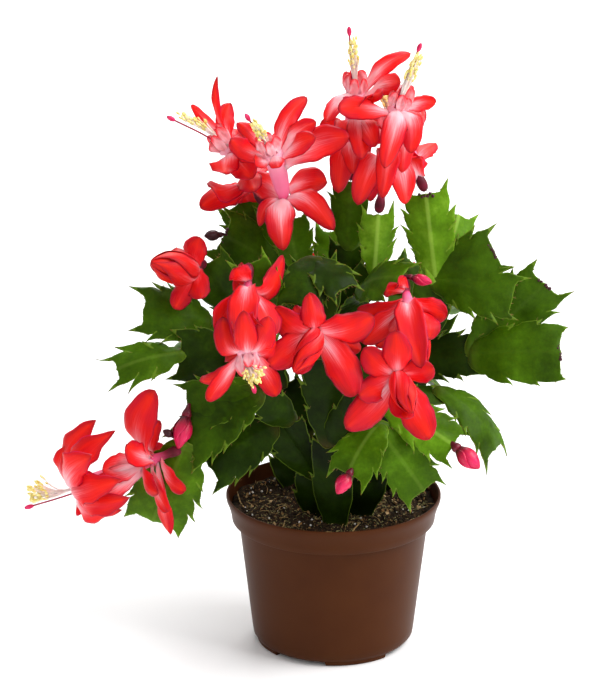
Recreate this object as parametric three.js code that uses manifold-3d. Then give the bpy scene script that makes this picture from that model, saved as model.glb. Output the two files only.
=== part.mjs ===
// A Christmas cactus in a round brown nursery pot: leaf-like stem segments with toothed edges,
// red tiered flowers with long stamens, buds, compost and the pot they stand in.
// Millimetres, +Z up. The origin is the middle of the pot's underside, on the surface it stands on.
// -Y is the side that faces the viewer.
import * as THREE from 'three';
import { mergeVertices } from 'three/addons/utils/BufferGeometryUtils.js';
import Module from 'manifold-3d';

const wasm = await Module();
wasm.setup();

// Driving dimensions

const seam = 0.3; // air left between neighbouring pieces
const overcut = 3; // how far a cutting body stands out past what it cuts
const tolerance = 0.05; // detail smaller than this is smoothed away after cutting
const weld = 0.001; // points nearer than this are one point

const pot = {
  height: 87,
  rimRadius: 60,
  rimThickness: 1.5,
  lipDepth: 7.5, // height over which the rolled lip runs back into the rim band
  lipRoll: 3, // height over which the lip keeps its full radius
  bandHeight: 15,
  bandTopRadius: 58.1,
  bandFootRadius: 56.7,
  neckRadius: 53, // wall radius just under the rim band
  heelRadius: 45, // wall radius at the bottom
  wall: 1.4,
  floorTop: 5.2,
  footHeight: 2.5,
  footRadius: 42.5,
  footDraft: 0.6, // how much wider a foot is at its top
  heelRise: 2.2, // from the feet up to where the wall starts
  feet: 4,
  footSpan: 48, // degrees of the base ring that each foot takes up
  firstFoot: -72, // direction of the first foot from +X, in degrees
  hubRadius: 14, // flat disc in the middle of the underside
  drainRadius: 3.2,
  drainCircle: 33,
  drainSides: 10,
  grooveSteps: 5, // flats along the curved sides of a drain groove
  sides: 26,
};

const compost = {
  level: 80,
  waves: [
    { height: 1.1, turns: 2, swirl: 0.21, shift: 0 },
    { height: 0.66, turns: 5, swirl: -0.33, shift: 1 },
  ],
  edgeGap: 1, // from the compost's top edge to the wall
  rings: 2,
  sides: 16,
};

const rootStub = {
  radius: 3.2,
  bottom: 68,
  top: 86,
  clearance: 0.4,
  sides: 7,
};

// Outline of a stem segment: places along it, in segment lengths from its neck to its blunt end, and out
// from its midrib, in half widths.
const segmentOutline = {
  shoulder: [0.2, 0.72],
  teeth: [
    { tip: [0.54, 1.02], notch: [0.5, 0.9] },
    { tip: [0.84, 1.02], notch: [0.8, 0.9] },
  ],
  hornRoot: [0.99, 0.7],
  horn: [1.07, 0.72],
};

const segment = {
  overlap: 4, // how far a segment's neck runs into the one it grew from
  firstOverlap: 3, // the same where it rises from its root
  ribHalf: 1.25, // half thickness along the midrib
  endHalf: 0.95,
  edgeHalf: 0.45,
  toothHalf: 0.3,
  fold: 0.16, // fall of the edges for each millimetre out from the midrib
  shortTeeth: 0.75, // a segment whose teeth are shorter than this share has one row of them less
  toothGrow: 2, // a tooth's point moves out this many times as far as the edges beside it
};

const flower = {
  ovary: [[0.6, 1.2], [3, 2.6], [7, 2.8], [10, 2.1]], // distance from the base, radius
  tube: [[0.45, 4.6], [0.8, 5.4], [1, 6.2]], // share of the way to the throat, radius
  closedTube: [[0.45, 3.4], [1, 3.4]], // the same for a flower that is still half closed
  ringGap: 0.04, // rings nearer than this share of the tube are left out
  pitRadius: 3.4,
  pitDepth: 6,
  tubeSides: 5,
  heart: [[0.8, 0.35], [1.15, 0.85], [1.5, 1], [1.8, 0.62]], // place on the axis, share of the radius
  heartSides: 8,
  heartLobe: 0.78, // how far the closed heart is drawn in between its lobes
  heartTwist: 0.9,
  petal: [[0, 0.26], [0.36, 0.88], [0.74, 1]], // share of the way to the tip, share of the width
  outerWidth: 15.5,
  innerWidth: 14,
  halfOpenWidth: 16.5,
  petalKeel: 1.3, // thickness along the middle, thinning out to the edges
  keelBack: 0.7, // share of that thickness that stands out on the back of the petal
  innerPlace: 0.95, // where the inner petals leave the tube
  halfOpenPlace: 0.9,
  outerRoot: 2, // how far from the axis a petal's root lies
  innerRoot: 4.6,
  outerStart: 55, // angle from the tube at which an outer petal leaves it, in degrees
  innerStart: 28,
  halfOpenStart: 65,
  petalBend: 0.55, // how far along the chord a petal keeps to its first direction
  mostTurn: 50, // how far petals twist to show a face to the light, in degrees
  midPetal: 0.6, // share of the way to the tip where the twist is measured
  turnPace: 1.5, // the twist is complete at one over this share of the way to the tip
  tipGrow: 3, // a petal's point moves out this many times as far as its faces
};

const stamens = {
  filaments: 5,
  filamentRadius: 0.45,
  filamentSides: 3,
  coreRadius: 1.5,
  coreTip: 0.9,
  coreSides: 4,
  corePlaces: [1.05, 1.4], // where the bundle starts to taper and where it ends
  firstParting: 1.1, // where the filaments part from the bundle
  rise: 0.7, // the bundle stands above the flower's axis
  antherLength: 2.6,
  antherRadius: 0.8,
  reach: [0.55, 0.86], // where the anthers lie between throat and stigma
  spread: 3, // how far the shortest filaments part
  narrowing: 0.35, // share of that spread which the longest ones lack
  firstTurn: 0.4, // where round the bundle the first filament parts, in radians
  lift: 0.9, // the filaments bend up out of the bundle by this share of their spread
  flatness: 0.8,
};

const style = {
  radius: 0.65,
  sides: 4,
  drop: 1.9, // the style runs below the stamens
  straight: 1.08, // place on the axis from which it follows the flower's curve
  knobRadius: 1.5,
  knobLength: 5.5,
};

const bud = {
  start: 0.6, // air between the bud and its segment
  startShare: 0.3, // share of its radius there
  rings: [[0.14, 0.5], [0.24, 0.45], [0.42, 0.92], [0.62, 1], [0.84, 0.6]], // share of length, of radius
  sides: 6,
};

// Ways that a segment's face can look
const viewer = [0, -1, 0.3];
const upward = [0, -0.4, 1];
const leftward = [-1, -0.5, 0.4];
const rightward = [1, -0.5, 0.4];

// Flowers that grow further back than this show their faces to the back, the others to the front.
const farSide = 60;
const frontLight = [0, -0.95, 0.3];
const backLight = [0, 0.95, 0.3];

// Leafy stems. Each segment is [the one it grows from, its far end, width, way its face looks, bow, teeth]:
// places, width and bow in millimetres, and the length of its teeth as a share of the full one.
// Number -1 is the root.
const leafyStems = {
  stem_left_low: {
    root: [-8, -18],
    segments: [
      [-1, [-10, -22, 106], 28, [-0.2, -1, 0], 0, 0.5],
      [0, [-35, -30, 138], 19, viewer, 2, 0.5],
      [0, [-24, -33, 142], 17, [-0.6, -1, 0], 1, 0.5],
      [1, [-69, -40, 117], 32, [-0.2, -1, 0.5], 4, 1],
      [2, [-42, -47, 161], 20, [-0.3, -1, 0.5], 1, 0.6],
      [4, [-80, -46, 155], 31, [0.1, -0.8, 1], 3, 1.2],
      [4, [-81, -60, 136], 31, [-0.2, -1, 0.7], 4, 1],
      [6, [-99, -48, 88], 38, [-0.2, -1, 0.1], 3, 1],
    ],
  },
  stem_left_mid: {
    root: [-8, 6],
    segments: [
      [-1, [-16, 4, 120], 24, [-0.4, -1, 0], 0, 0.6],
      [0, [-29, 0, 152], 24, [-0.3, -1, 0.2], 0, 0.7],
      [1, [-52, -5, 169], 24, viewer, 1, 0.8],
      [2, [-85, -18, 174], 34, [-0.1, -1, 0.2], 3, 0.8],
      [3, [-120, -26, 168], 29, [0, -0.7, 0.8], 5, 1.7],
      [2, [-71, 2, 186], 19, upward, 1, 0.6],
      [5, [-112, -6, 201], 29, [0, -0.9, 0.7], 4, 1.2],
      [1, [-46, 8, 184], 24, leftward, 1, 0.8],
      [7, [-70, 2, 221], 31, [-0.3, -1, 0.1], 3, 0.9],
    ],
  },
  stem_upper_left: {
    root: [-2, 26],
    segments: [
      [-1, [-4, 21, 130], 25, [-1, -0.6, 0], 0, 0.6],
      [0, [-12, 15, 178], 26, [-0.3, -1, 0], 0, 0.7],
      [1, [-19, 9, 216], 25, viewer, 1, 0.9],
      [2, [-25, 3, 246], 24, [-0.2, -1, 0.1], 1, 0.9],
      [1, [-32, 24, 212], 21, leftward, 1, 0.7],
      [4, [-61, 14, 233], 34, [-0.1, -1, 0.5], 3, 1],
      [4, [-53, 32, 246], 28, [-0.2, -1, 0.2], 2, 1],
      [2, [-38, 24, 247], 20, [-0.6, -1, 0], 2, 0.8],
    ],
  },
  stem_tall: {
    root: [12, 24],
    segments: [
      [-1, [9, 27, 134], 26, [1, -0.6, 0], 0, 0.6],
      [0, [6, 25, 184], 25, [0.2, -1, 0], 0, 0.7],
      [1, [8, 22, 225], 24, [0.1, -1, 0], 0, 0.8],
      [2, [9, 20, 262], 21, [-0.1, -1, 0], 1, 0.9],
      [1, [22, 14, 213], 20, [0.4, -1, 0.2], 1, 0.7],
      [4, [24, 8, 247], 20, [0.1, -1, 0], 1, 1.1],
      [1, [15, -1, 205], 18, upward, 1, 0.6],
      [6, [37, -27, 221], 26, [-0.5, -0.7, 1], 5, 0.9],
    ],
  },
  stem_right: {
    root: [17, 6],
    segments: [
      [-1, [31, 3, 128], 26, [1, -0.7, 0], 0, 0.6],
      [0, [45, 2, 166], 25, [0.4, -1, 0.2], 1, 0.7],
      [1, [56, 8, 209], 25, viewer, 1, 0.8],
      [2, [50, 15, 257], 32, [-0.1, -1, 0.1], 2, 1],
      [2, [69, 27, 241], 25, [0.2, -1, 0.1], 2, 1],
      [2, [88, 5, 227], 30, [-0.2, -1, 0.5], 3, 1],
      [2, [98, -9, 204], 29, [-0.1, -1, 0.4], 3, 1],
      [1, [77, -8, 171], 26, [-0.2, -1, 0.5], 2, 0.8],
      [7, [116, 0, 210], 33, [0.3, -1, 0.4], -5, 1.2],
      [7, [125, -22, 177], 36, [-0.1, -1, 0.6], 4, 0.9],
    ],
  },
  stem_right_low: {
    root: [14, -18],
    segments: [
      [-1, [20, -29, 120], 26, [0.2, -1, 0], 0, 0.6],
      [0, [27, -38, 153], 22, [0.3, -1, 0.2], 0, 0.7],
      [0, [23, -46, 142], 17, viewer, 1, 0.5],
      [2, [7, -62, 121], 28, [-0.5, -1, 0.7], 4, 1],
      [2, [49, -46, 105], 28, [0.1, -1, 0.4], 3, 1],
      [1, [57, -24, 154], 20, upward, 2, 0.7],
      [5, [88, -34, 124], 21, [0.5, -0.6, 1], 8, 1.2],
      [1, [65, -47, 132], 26, [0, -1, 0.7], 3, 1],
    ],
  },
  stem_front: {
    root: [0, -34],
    segments: [
      [-1, [-3, -40, 132], 24, [-0.2, -1, 0], 0, 0.6],
      [0, [-8, -42, 184], 24, [0.1, -1, 0], 0, 0.7],
      [1, [-11, -34, 232], 28, viewer, 0, 0.9],
      [2, [-20, -56, 214], 28, [-0.1, -1, 1], 3, 0.9],
      [2, [5, -51, 222], 22, [0.3, -0.8, 1], 2, 1],
      [1, [-30, -42, 206], 20, leftward, 1, 0.6],
      [5, [-46, -50, 237], 24, [-0.4, -1, 0.2], 2, 0.9],
      [0, [13, -52, 161], 18, viewer, 1, 0.6],
      [7, [31, -60, 184], 20, [0, -1, 0.6], 1, 0.8],
    ],
  },
  stem_back_left: {
    root: [-22, 24],
    segments: [
      [-1, [-28, 34, 112], 26, [-0.6, 1, 0], 0, 0.6],
      [0, [-46, 46, 138], 26, [-1, 0.6, 0.6], 1, 0.7],
      [1, [-80, 46, 158], 30, [-0.8, 0.4, 1], 3, 1],
      [2, [-96, 72, 140], 28, [-1, 0.5, 0.6], 3, 1],
      [1, [-40, 70, 170], 28, [-0.6, 1, -0.3], 2, 0.7],
      [4, [-60, 88, 188], 28, [-1, 0.6, 0.3], 3, 1],
      [4, [-24, 92, 196], 28, [0, 1, -0.2], 2, 0.7],
      [1, [-62, 76, 120], 31, [-0.9, 0.6, 0.5], 4, 1],
    ],
  },
  stem_back_right: {
    root: [26, 22],
    segments: [
      [-1, [32, 32, 114], 26, [0.6, 1, 0], 0, 0.6],
      [0, [44, 48, 144], 26, [1, 0.6, 0], 1, 0.7],
      [1, [62, 58, 172], 28, [1, 0.8, -0.2], 2, 0.7],
      [2, [93, 60, 184], 31, [0.6, 0.5, 1], 3, 1],
      [2, [66, 76, 207], 28, [1, 0.7, 0], 3, 1],
      [1, [37, 74, 172], 28, [-0.2, 1, -0.4], 2, 0.7],
      [5, [50, 96, 190], 28, [0.2, 1, -0.2], 2, 0.7],
      [1, [60, 72, 122], 28, [1, 0.6, 0.5], 4, 1],
    ],
  },
  stem_back: {
    root: [2, 42],
    segments: [
      [-1, [0, 52, 116], 26, [0.8, 1, 0], 0, 0.6],
      [0, [-4, 66, 146], 26, [-0.7, 1, 0.2], 1, 0.7],
      [1, [-14, 96, 160], 30, [-0.1, 0.5, 1], 3, 1],
      [1, [18, 96, 130], 30, [0.2, 0.7, 1], 4, 1],
      [1, [4, 74, 180], 24, [0.7, 1, 0], 1, 0.7],
      [4, [2, 92, 212], 28, [0.1, 1, -0.2], 2, 1],
    ],
  },
};

// Open flowers: base on the end of its segment, throat, stigma, how far along the tube the outer petals
// leave it, and the tips of the outer and inner petals.
const openFlowers = {
  flower_top_left: {
    base: [-38, 24, 247],
    throat: [-60, 14, 284],
    stigma: [-89, 4, 304],
    collar: 0.3,
    outer: [[-73, 6, 250], [-69, -6, 263], [-32, 46, 266], [-23, 48, 242], [-52, 30, 236]],
    inner: [[-63, 18, 318], [-56, 36, 301], [-80, 8, 303], [-40, -6, 290], [-46, -14, 279], [-52, -2, 266]],
  },
  flower_top_middle: {
    base: [-25, 3, 246],
    throat: [-34, -12, 288],
    stigma: [-46, -22, 311],
    collar: 0.3,
    outer: [[-27, -18, 234], [-1, -10, 241], [0, 8, 266], [-47, -8, 242], [-50, 18, 258]],
    inner: [[-15, 2, 314], [-9, -8, 303], [-10, -32, 297], [6, -16, 294], [-52, 6, 300], [-56, -12, 290]],
  },
  flower_top: {
    base: [9, 20, 262],
    throat: [11, 8, 316],
    stigma: [9, 0, 353],
    collar: 0.42,
    outer: [[-3, 2, 257], [-12, 24, 296], [13, 38, 259], [2, 50, 272], [-14, 6, 277]],
    inner: [[41, 10, 336], [37, -8, 323], [28, -18, 318], [-6, -2, 292], [4, -20, 306], [-4, 38, 318]],
  },
  flower_top_right: {
    base: [24, 8, 247],
    throat: [34, -8, 312],
    stigma: [47, -12, 347],
    collar: 0.48,
    outer: [[11, -10, 256], [37, -12, 256], [45, 22, 262], [28, 34, 262]],
    inner: [[24, -28, 281], [41, -24, 288], [54, -6, 313], [47, 4, 298], [0, -24, 314], [34, 30, 308]],
  },
  flower_right_back: {
    base: [50, 15, 257],
    throat: [34, 24, 290],
    stigma: [24, 42, 312],
    collar: 0.4,
    outer: [[38, 36, 252], [56, 36, 276], [48, 2, 282]],
    inner: [[50, 46, 294], [22, 54, 286], [44, 34, 314], [12, 34, 300]],
  },
  flower_left_front: {
    base: [-46, -50, 237],
    throat: [-46, -85, 196],
    stigma: [-42, -97, 181],
    collar: 0.35,
    outer: [[-29, -47, 241], [-50, -38, 228], [-45, -80, 240], [-64, -58, 224], [-30, -62, 214]],
    inner: [
      [-49, -97, 228], [-34, -94, 221], [-60, -78, 217],
      [-74, -74, 178], [-67, -92, 173], [-27, -86, 175],
    ],
  },
  flower_left_low: {
    base: [-81, -60, 136],
    throat: [-138, -66, 119],
    stigma: [-167, -70, 107],
    collar: 0.26,
    outer: [[-96, -62, 168], [-110, -79, 142], [-88, -68, 90], [-81, -74, 114], [-98, -38, 136]],
    inner: [
      [-142, -58, 144], [-127, -62, 152], [-117, -78, 149],
      [-130, -84, 110], [-114, -74, 104], [-114, -42, 113],
    ],
  },
  flower_back_left: {
    base: [-24, 92, 196],
    throat: [-32, 130, 180],
    stigma: [-38, 152, 162],
    collar: 0.35,
    outer: [[-44, 96, 212], [-12, 100, 206], [-2, 108, 184], [-28, 100, 168], [-54, 106, 186]],
    inner: [[-42, 114, 208], [-12, 118, 206], [-6, 122, 170], [-30, 136, 146], [-62, 126, 172]],
  },
  flower_back_right: {
    base: [50, 96, 190],
    throat: [60, 128, 168],
    stigma: [68, 147, 149],
    collar: 0.35,
    outer: [[44, 103, 211], [68, 102, 207], [80, 108, 177], [50, 102, 160]],
    inner: [[52, 122, 201], [78, 121, 191], [84, 130, 162], [60, 133, 134], [40, 129, 162]],
  },
};

// Half open flowers: the outer petals are spread and the inner ones still closed round the heart.
const halfOpenFlowers = {
  flower_opening_left: {
    base: [-70, 2, 221],
    throat: [-78, -7, 216],
    tip: [-101, -27, 220],
    heartRadius: 8.5,
    outer: [[-77, -2, 232], [-87, -14, 199], [-72, -18, 204], [-86, 12, 226]],
  },
  flower_opening_middle: {
    base: [-20, -56, 214],
    throat: [-11, -74, 205],
    tip: [-22, -92, 190],
    heartRadius: 6,
    outer: [[-13, -66, 226], [20, -76, 214], [9, -85, 173], [14, -66, 188], [-33, -68, 219], [-36, -82, 191]],
  },
  flower_opening_right: {
    base: [37, -27, 221],
    throat: [40, -46, 208],
    tip: [47, -65, 184],
    heartRadius: 8,
    outer: [[10, -38, 205], [15, -50, 190], [28, -38, 184], [61, -44, 205], [46, -69, 208]],
  },
  flower_opening_low: {
    base: [31, -60, 184],
    throat: [33, -78, 182],
    tip: [40, -96, 169],
    heartRadius: 6.5,
    outer: [[32, -82, 210], [52, -78, 188], [15, -76, 199], [11, -84, 174], [5, -83, 156], [48, -82, 147]],
  },
};

// Buds: base, tip, radius
const buds = {
  bud_left: [[-79, -49, 154], [-84, -64, 137], 4.6],
  bud_left_small: [[-86, -57, 141], [-92, -60, 146], 2.1],
  bud_upper_left: [[-61, 14, 233], [-71, 8, 234], 3],
  bud_right_low: [[65, -47, 132], [80, -57, 120], 4.8],
  bud_middle: [[7, -62, 121], [-1, -74, 112], 3.8],
  bud_right: [[39, -27, 222], [52, -35, 221], 3],
};

// Colours

function finish(colour, roughness) {
  return new THREE.MeshStandardMaterial({ color: colour, roughness, metalness: 0 });
}

const finishes = {
  pot: finish('#5e3a2a', 0.42),
  compost: finish('#2c2119', 0.95),
  leaf: finish('#3f6a1c', 0.45),
  petal: finish('#ee2a2c', 0.5),
  stamen: finish('#f4ead0', 0.6),
  style: finish('#a8123a', 0.5),
  bud: finish('#d81f5c', 0.5),
};

// Solids from closed meshes

function vec(point) {
  return new THREE.Vector3(...point);
}

function radians(degrees) {
  return (degrees * Math.PI) / 180;
}

function enclosedVolume(points, faces) {
  let sum = 0;
  for (const [a, b, c] of faces) {
    sum += points[a].dot(new THREE.Vector3().crossVectors(points[b], points[c]));
  }
  return sum / 6;
}

function solidFromFaces(points, faces) {
  const outward = enclosedVolume(points, faces) >= 0;
  const triangles = outward ? faces : faces.map(([a, b, c]) => [a, c, b]);
  const geometry = new THREE.BufferGeometry().setFromPoints(points);
  geometry.setIndex(triangles.flat());
  const mesh = new wasm.Mesh({
    numProp: 3,
    vertProperties: new Float32Array(geometry.attributes.position.array),
    triVerts: new Uint32Array(geometry.index.array),
  });
  mesh.merge();
  return new wasm.Manifold(mesh);
}

// A three.js geometry as a solid: only its places count, and points in one place become one point.
function solidFromGeometry(geometry) {
  const bare = new THREE.BufferGeometry();
  bare.setAttribute('position', (geometry.index ? geometry.toNonIndexed() : geometry).attributes.position);
  const merged = mergeVertices(bare, weld);
  const points = [];
  for (let i = 0; i < merged.attributes.position.count; i += 1) {
    points.push(new THREE.Vector3().fromBufferAttribute(merged.attributes.position, i));
  }
  const faces = [];
  for (let i = 0; i < merged.index.count; i += 3) {
    faces.push([...merged.index.array.slice(i, i + 3)]);
  }
  return solidFromFaces(points, faces);
}

function geometryFromSolid(solid) {
  const { vertProperties, triVerts } = solid.getMesh();
  const geometry = new THREE.BufferGeometry();
  geometry.setAttribute('position', new THREE.BufferAttribute(new Float32Array(vertProperties), 3));
  geometry.setIndex(new THREE.BufferAttribute(new Uint32Array(triVerts), 1));
  return geometry;
}

// Skin over a row of rings with the same number of points each. A ring of one point closes that end.
// Each four-cornered patch is split along the diagonal that stands out, so that no patch dips into the body.
function loft(rings) {
  const points = rings.flat();
  const faces = [];
  const patches = [];
  let start = 0;
  for (let k = 0; k + 1 < rings.length; k += 1) {
    const near = rings[k].length;
    const far = rings[k + 1].length;
    const sides = Math.max(near, far);
    for (let i = 0; i < sides; i += 1) {
      const next = (i + 1) % sides;
      if (near === 1) {
        faces.push([start, start + 1 + next, start + 1 + i]);
      } else if (far === 1) {
        faces.push([start + i, start + next, start + near]);
      } else {
        patches.push([start + i, start + next, start + near + next, start + near + i]);
      }
    }
    start += near;
  }
  const last = rings[rings.length - 1].length;
  for (let i = 1; i + 1 < rings[0].length; i += 1) {
    faces.push([0, i + 1, i]);
  }
  for (let i = 1; i + 1 < last; i += 1) {
    faces.push([start, start + i, start + i + 1]);
  }
  const halves = patches.flatMap(([a, b, c, d]) => [[a, b, c], [a, c, d]]);
  const outward = enclosedVolume(points, [...faces, ...halves]) > 0;
  for (const [a, b, c, d] of patches) {
    const normal = new THREE.Triangle(points[a], points[b], points[c]).getNormal(new THREE.Vector3());
    const below = normal.dot(new THREE.Vector3().subVectors(points[d], points[a])) <= 0;
    if (below === outward) {
      faces.push([a, b, c], [a, c, d]);
    } else {
      faces.push([a, b, d], [b, c, d]);
    }
  }
  return solidFromFaces(points, faces);
}

// Corners of a ring square to a direction. Grow moves its flat sides out by that much.
function circle(centre, direction, radius, sides, grow) {
  const [u, v] = crossDirections(direction);
  const reach = radius + grow / Math.cos(Math.PI / sides);
  const ring = [];
  for (let i = 0; i < sides; i += 1) {
    const angle = (2 * Math.PI * i) / sides;
    ring.push(centre.clone()
      .addScaledVector(u, reach * Math.cos(angle))
      .addScaledVector(v, reach * Math.sin(angle)));
  }
  return ring;
}

// Two directions square to a given one, the first of them as near as can be to the viewer or to straight up.
function crossDirections(axis) {
  const hint = Math.abs(axis.z) > 0.8 ? new THREE.Vector3(0, -1, 0) : new THREE.Vector3(0, 0, 1);
  const u = hint.addScaledVector(axis, -hint.dot(axis)).normalize();
  const v = new THREE.Vector3().crossVectors(axis, u);
  return [u, v];
}

// Fusing and cutting can leave loose scraps, or a hollow with no way out. Only the outside of the largest
// body stays. Welding can set a further scrap free, so it is looked for at least twice.
function largestBody(solid) {
  let body = solid;
  let bodies = [];
  for (let pass = 0; pass < 2 || bodies.length > 1; pass += 1) {
    bodies = solidFromGeometry(geometryFromSolid(body)).decompose();
    body = bodies.reduce((best, other) => (other.volume() > best.volume() ? other : best));
  }
  return body;
}

function fuse(solids) {
  return solids.reduce((whole, solid) => whole.add(solid));
}

// Pot

function potProfile() {
  const bandFoot = pot.height - pot.bandHeight;
  const bandTop = pot.height - pot.lipDepth;
  const lipInside = pot.rimRadius - pot.rimThickness;
  return [
    [0, 0],
    [pot.footRadius, 0],
    [pot.footRadius + pot.footDraft, pot.footHeight],
    [pot.heelRadius, pot.footHeight + pot.heelRise],
    [pot.neckRadius, bandFoot],
    [pot.bandFootRadius, bandFoot],
    [pot.bandTopRadius, bandTop],
    [pot.rimRadius, pot.height - pot.lipRoll],
    [pot.rimRadius, pot.height],
    [lipInside, pot.height],
    [pot.bandTopRadius - pot.wall, bandTop],
    [pot.bandFootRadius - pot.wall, bandFoot + pot.wall],
    [pot.neckRadius - pot.wall, bandFoot - pot.wall],
    [pot.heelRadius - pot.wall, pot.floorTop],
    [0, pot.floorTop],
  ].map(([radius, height]) => new THREE.Vector2(radius, height));
}

// Groove under the floor between two feet, as a slice of a ring
function drainGroove(middleAngle) {
  const half = Math.PI / pot.feet - radians(pot.footSpan / 2);
  const outside = pot.heelRadius + overcut;
  const shape = new THREE.Shape();
  shape.absarc(0, 0, outside, middleAngle - half, middleAngle + half, false);
  shape.absarc(0, 0, pot.hubRadius, middleAngle + half, middleAngle - half, true);
  const geometry = new THREE.ExtrudeGeometry(shape, {
    depth: pot.footHeight + overcut,
    bevelEnabled: false,
    curveSegments: pot.grooveSteps,
  });
  return solidFromGeometry(geometry.translate(0, 0, -overcut));
}

function drainHole(angle) {
  const depth = 2 * (pot.floorTop + overcut);
  const geometry = new THREE.CylinderGeometry(pot.drainRadius, pot.drainRadius, depth, pot.drainSides);
  geometry.rotateX(Math.PI / 2);
  geometry.translate(pot.drainCircle * Math.cos(angle), pot.drainCircle * Math.sin(angle), 0);
  return solidFromGeometry(geometry);
}

function buildPot() {
  const body = new THREE.LatheGeometry(potProfile(), pot.sides).rotateX(Math.PI / 2);
  let solid = solidFromGeometry(body);
  for (let i = 0; i < pot.feet; i += 1) {
    const angle = radians(pot.firstFoot + ((i + 0.5) * 360) / pot.feet);
    solid = solid.subtract(drainGroove(angle)).subtract(drainHole(angle));
  }
  return solid;
}

// Compost, with a plain hole round each root

function compostHeight(radius, angle) {
  return compost.waves.reduce(
    (sum, { height, turns, swirl, shift }) => sum + height * Math.sin(turns * angle + swirl * radius + shift),
    compost.level,
  );
}

function wallInside(height) {
  const low = pot.floorTop;
  const high = pot.height - pot.bandHeight - pot.wall;
  const share = (height - low) / (high - low);
  return pot.heelRadius + (pot.neckRadius - pot.heelRadius) * share - pot.wall;
}

function rootColumn(x, y, radius, bottom) {
  const height = rootStub.top - bottom;
  const geometry = new THREE.CylinderGeometry(radius, radius, height, rootStub.sides);
  geometry.rotateX(Math.PI / 2);
  geometry.translate(x, y, bottom + height / 2);
  return solidFromGeometry(geometry);
}

function buildCompost() {
  const shoulder = pot.height - pot.bandHeight - pot.wall;
  const topRadius = pot.bandTopRadius - pot.wall - compost.edgeGap;
  const profile = [
    [0, pot.floorTop + seam],
    [wallInside(pot.floorTop) - seam, pot.floorTop + seam],
    [wallInside(shoulder) - seam, shoulder + pot.wall],
    [pot.bandFootRadius - pot.wall - 2 * seam, shoulder + 2.5 * pot.wall],
  ];
  for (let i = compost.rings; i >= 0; i -= 1) {
    profile.push([(topRadius * i) / compost.rings, compost.level]);
  }
  const geometry = new THREE.LatheGeometry(
    profile.map(([radius, height]) => new THREE.Vector2(radius, height)),
    compost.sides,
  ).rotateX(Math.PI / 2);
  const position = geometry.attributes.position;
  for (let i = 0; i < position.count; i += 1) {
    if (position.getZ(i) > compost.level - seam) {
      const radius = Math.hypot(position.getX(i), position.getY(i));
      const angle = radius > 0.01 ? Math.atan2(position.getY(i), position.getX(i)) : 0;
      position.setZ(i, compostHeight(radius, angle));
    }
  }
  let solid = solidFromGeometry(geometry);
  const gap = rootStub.clearance;
  for (const { root } of Object.values(leafyStems)) {
    solid = solid.subtract(rootColumn(root[0], root[1], rootStub.radius + gap, rootStub.bottom - gap));
  }
  return solid;
}

// Stem segments

// One flat, toothed segment, split into triangles alike on both faces. Grow thickens it all round.
function stemSegment(from, to, width, face, bow, teeth, toothRows, grow) {
  const along = new THREE.Vector3().subVectors(to, from);
  const length = along.length();
  along.normalize();
  const normal = vec(face).addScaledVector(along, -vec(face).dot(along)).normalize();
  const side = new THREE.Vector3().crossVectors(along, normal);

  const points = [];
  const addPair = (t, out, half) => {
    const place = from.clone()
      .addScaledVector(along, t * length)
      .addScaledVector(side, out)
      .addScaledVector(normal, 4 * bow * t * (1 - t) - segment.fold * Math.abs(out));
    points.push(place.clone().addScaledVector(normal, half + grow));
    points.push(place.clone().addScaledVector(normal, -half - grow));
    return points.length - 2;
  };
  const faces = [];
  const addFace = (a, b, c) => faces.push([a, b, c], [a + 1, c + 1, b + 1]);
  const addWall = (a, b) => faces.push([a, a + 1, b + 1], [a, b + 1, b]);

  const rows = segmentOutline.teeth.slice(0, toothRows);
  const start = -grow / length;
  const end = 1 + grow / length;
  const ribs = [
    addPair(start, 0, segment.ribHalf),
    ...rows.map(({ notch }) => addPair(notch[0], 0, segment.ribHalf)),
    addPair(end, 0, segment.endHalf),
  ];
  for (const hand of [1, -1]) {
    const corner = ([t, out], half, past) => {
      return addPair(t + past / length, hand * (out * width * 0.5 + grow), half);
    };
    const stretched = (root, tip) => tip.map((value, i) => root[i] + (value - root[i]) * teeth);
    const span = (a, b, c) => (hand > 0 ? addFace(a, b, c) : addFace(a, c, b));
    const edge = (a, b) => (hand > 0 ? addWall(a, b) : addWall(b, a));
    let previous = corner(segmentOutline.shoulder, segment.edgeHalf, 0);
    span(ribs[0], previous, ribs[1]);
    edge(ribs[0], previous);
    rows.forEach(({ tip, notch }, i) => {
      const tooth = corner(stretched(notch, tip), segment.toothHalf, segment.toothGrow * grow);
      const root = corner(notch, segment.edgeHalf, grow);
      span(ribs[i + (i > 0 ? 0 : 1)], previous, root);
      if (i > 0) {
        span(ribs[i], root, ribs[i + 1]);
      }
      span(previous, tooth, root);
      edge(previous, tooth);
      edge(tooth, root);
      previous = root;
    });
    const { horn, hornRoot } = segmentOutline;
    const tip = corner(stretched(hornRoot, horn), segment.toothHalf, segment.toothGrow * grow);
    const last = ribs[ribs.length - 1];
    span(ribs[ribs.length - 2], previous, last);
    span(previous, tip, last);
    edge(previous, tip);
    edge(tip, last);
  }
  return solidFromFaces(points, faces);
}

function buildStem({ root, segments }, grow) {
  const foot = new THREE.Vector3(root[0], root[1], rootStub.top - 2 * segment.firstOverlap);
  const solids = [rootColumn(root[0], root[1], rootStub.radius + grow, rootStub.bottom)];
  for (const [parent, end, width, face, bow, teeth] of segments) {
    const from = parent < 0 ? foot : vec(segments[parent][1]);
    const lead = new THREE.Vector3().subVectors(vec(end), from).normalize();
    const overlap = parent < 0 ? -segment.firstOverlap : segment.overlap;
    const neck = from.clone().addScaledVector(lead, -overlap);
    const toothRows = teeth < segment.shortTeeth ? 1 : 2;
    solids.push(stemSegment(neck, vec(end), width, face, bow, teeth, toothRows, grow));
  }
  return fuse(solids);
}

// Flowers

function flowerAxis({ base, throat, stigma, tip }) {
  return new THREE.CatmullRomCurve3([vec(base), vec(throat), vec(stigma ?? tip)], false, 'centripetal');
}

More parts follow.
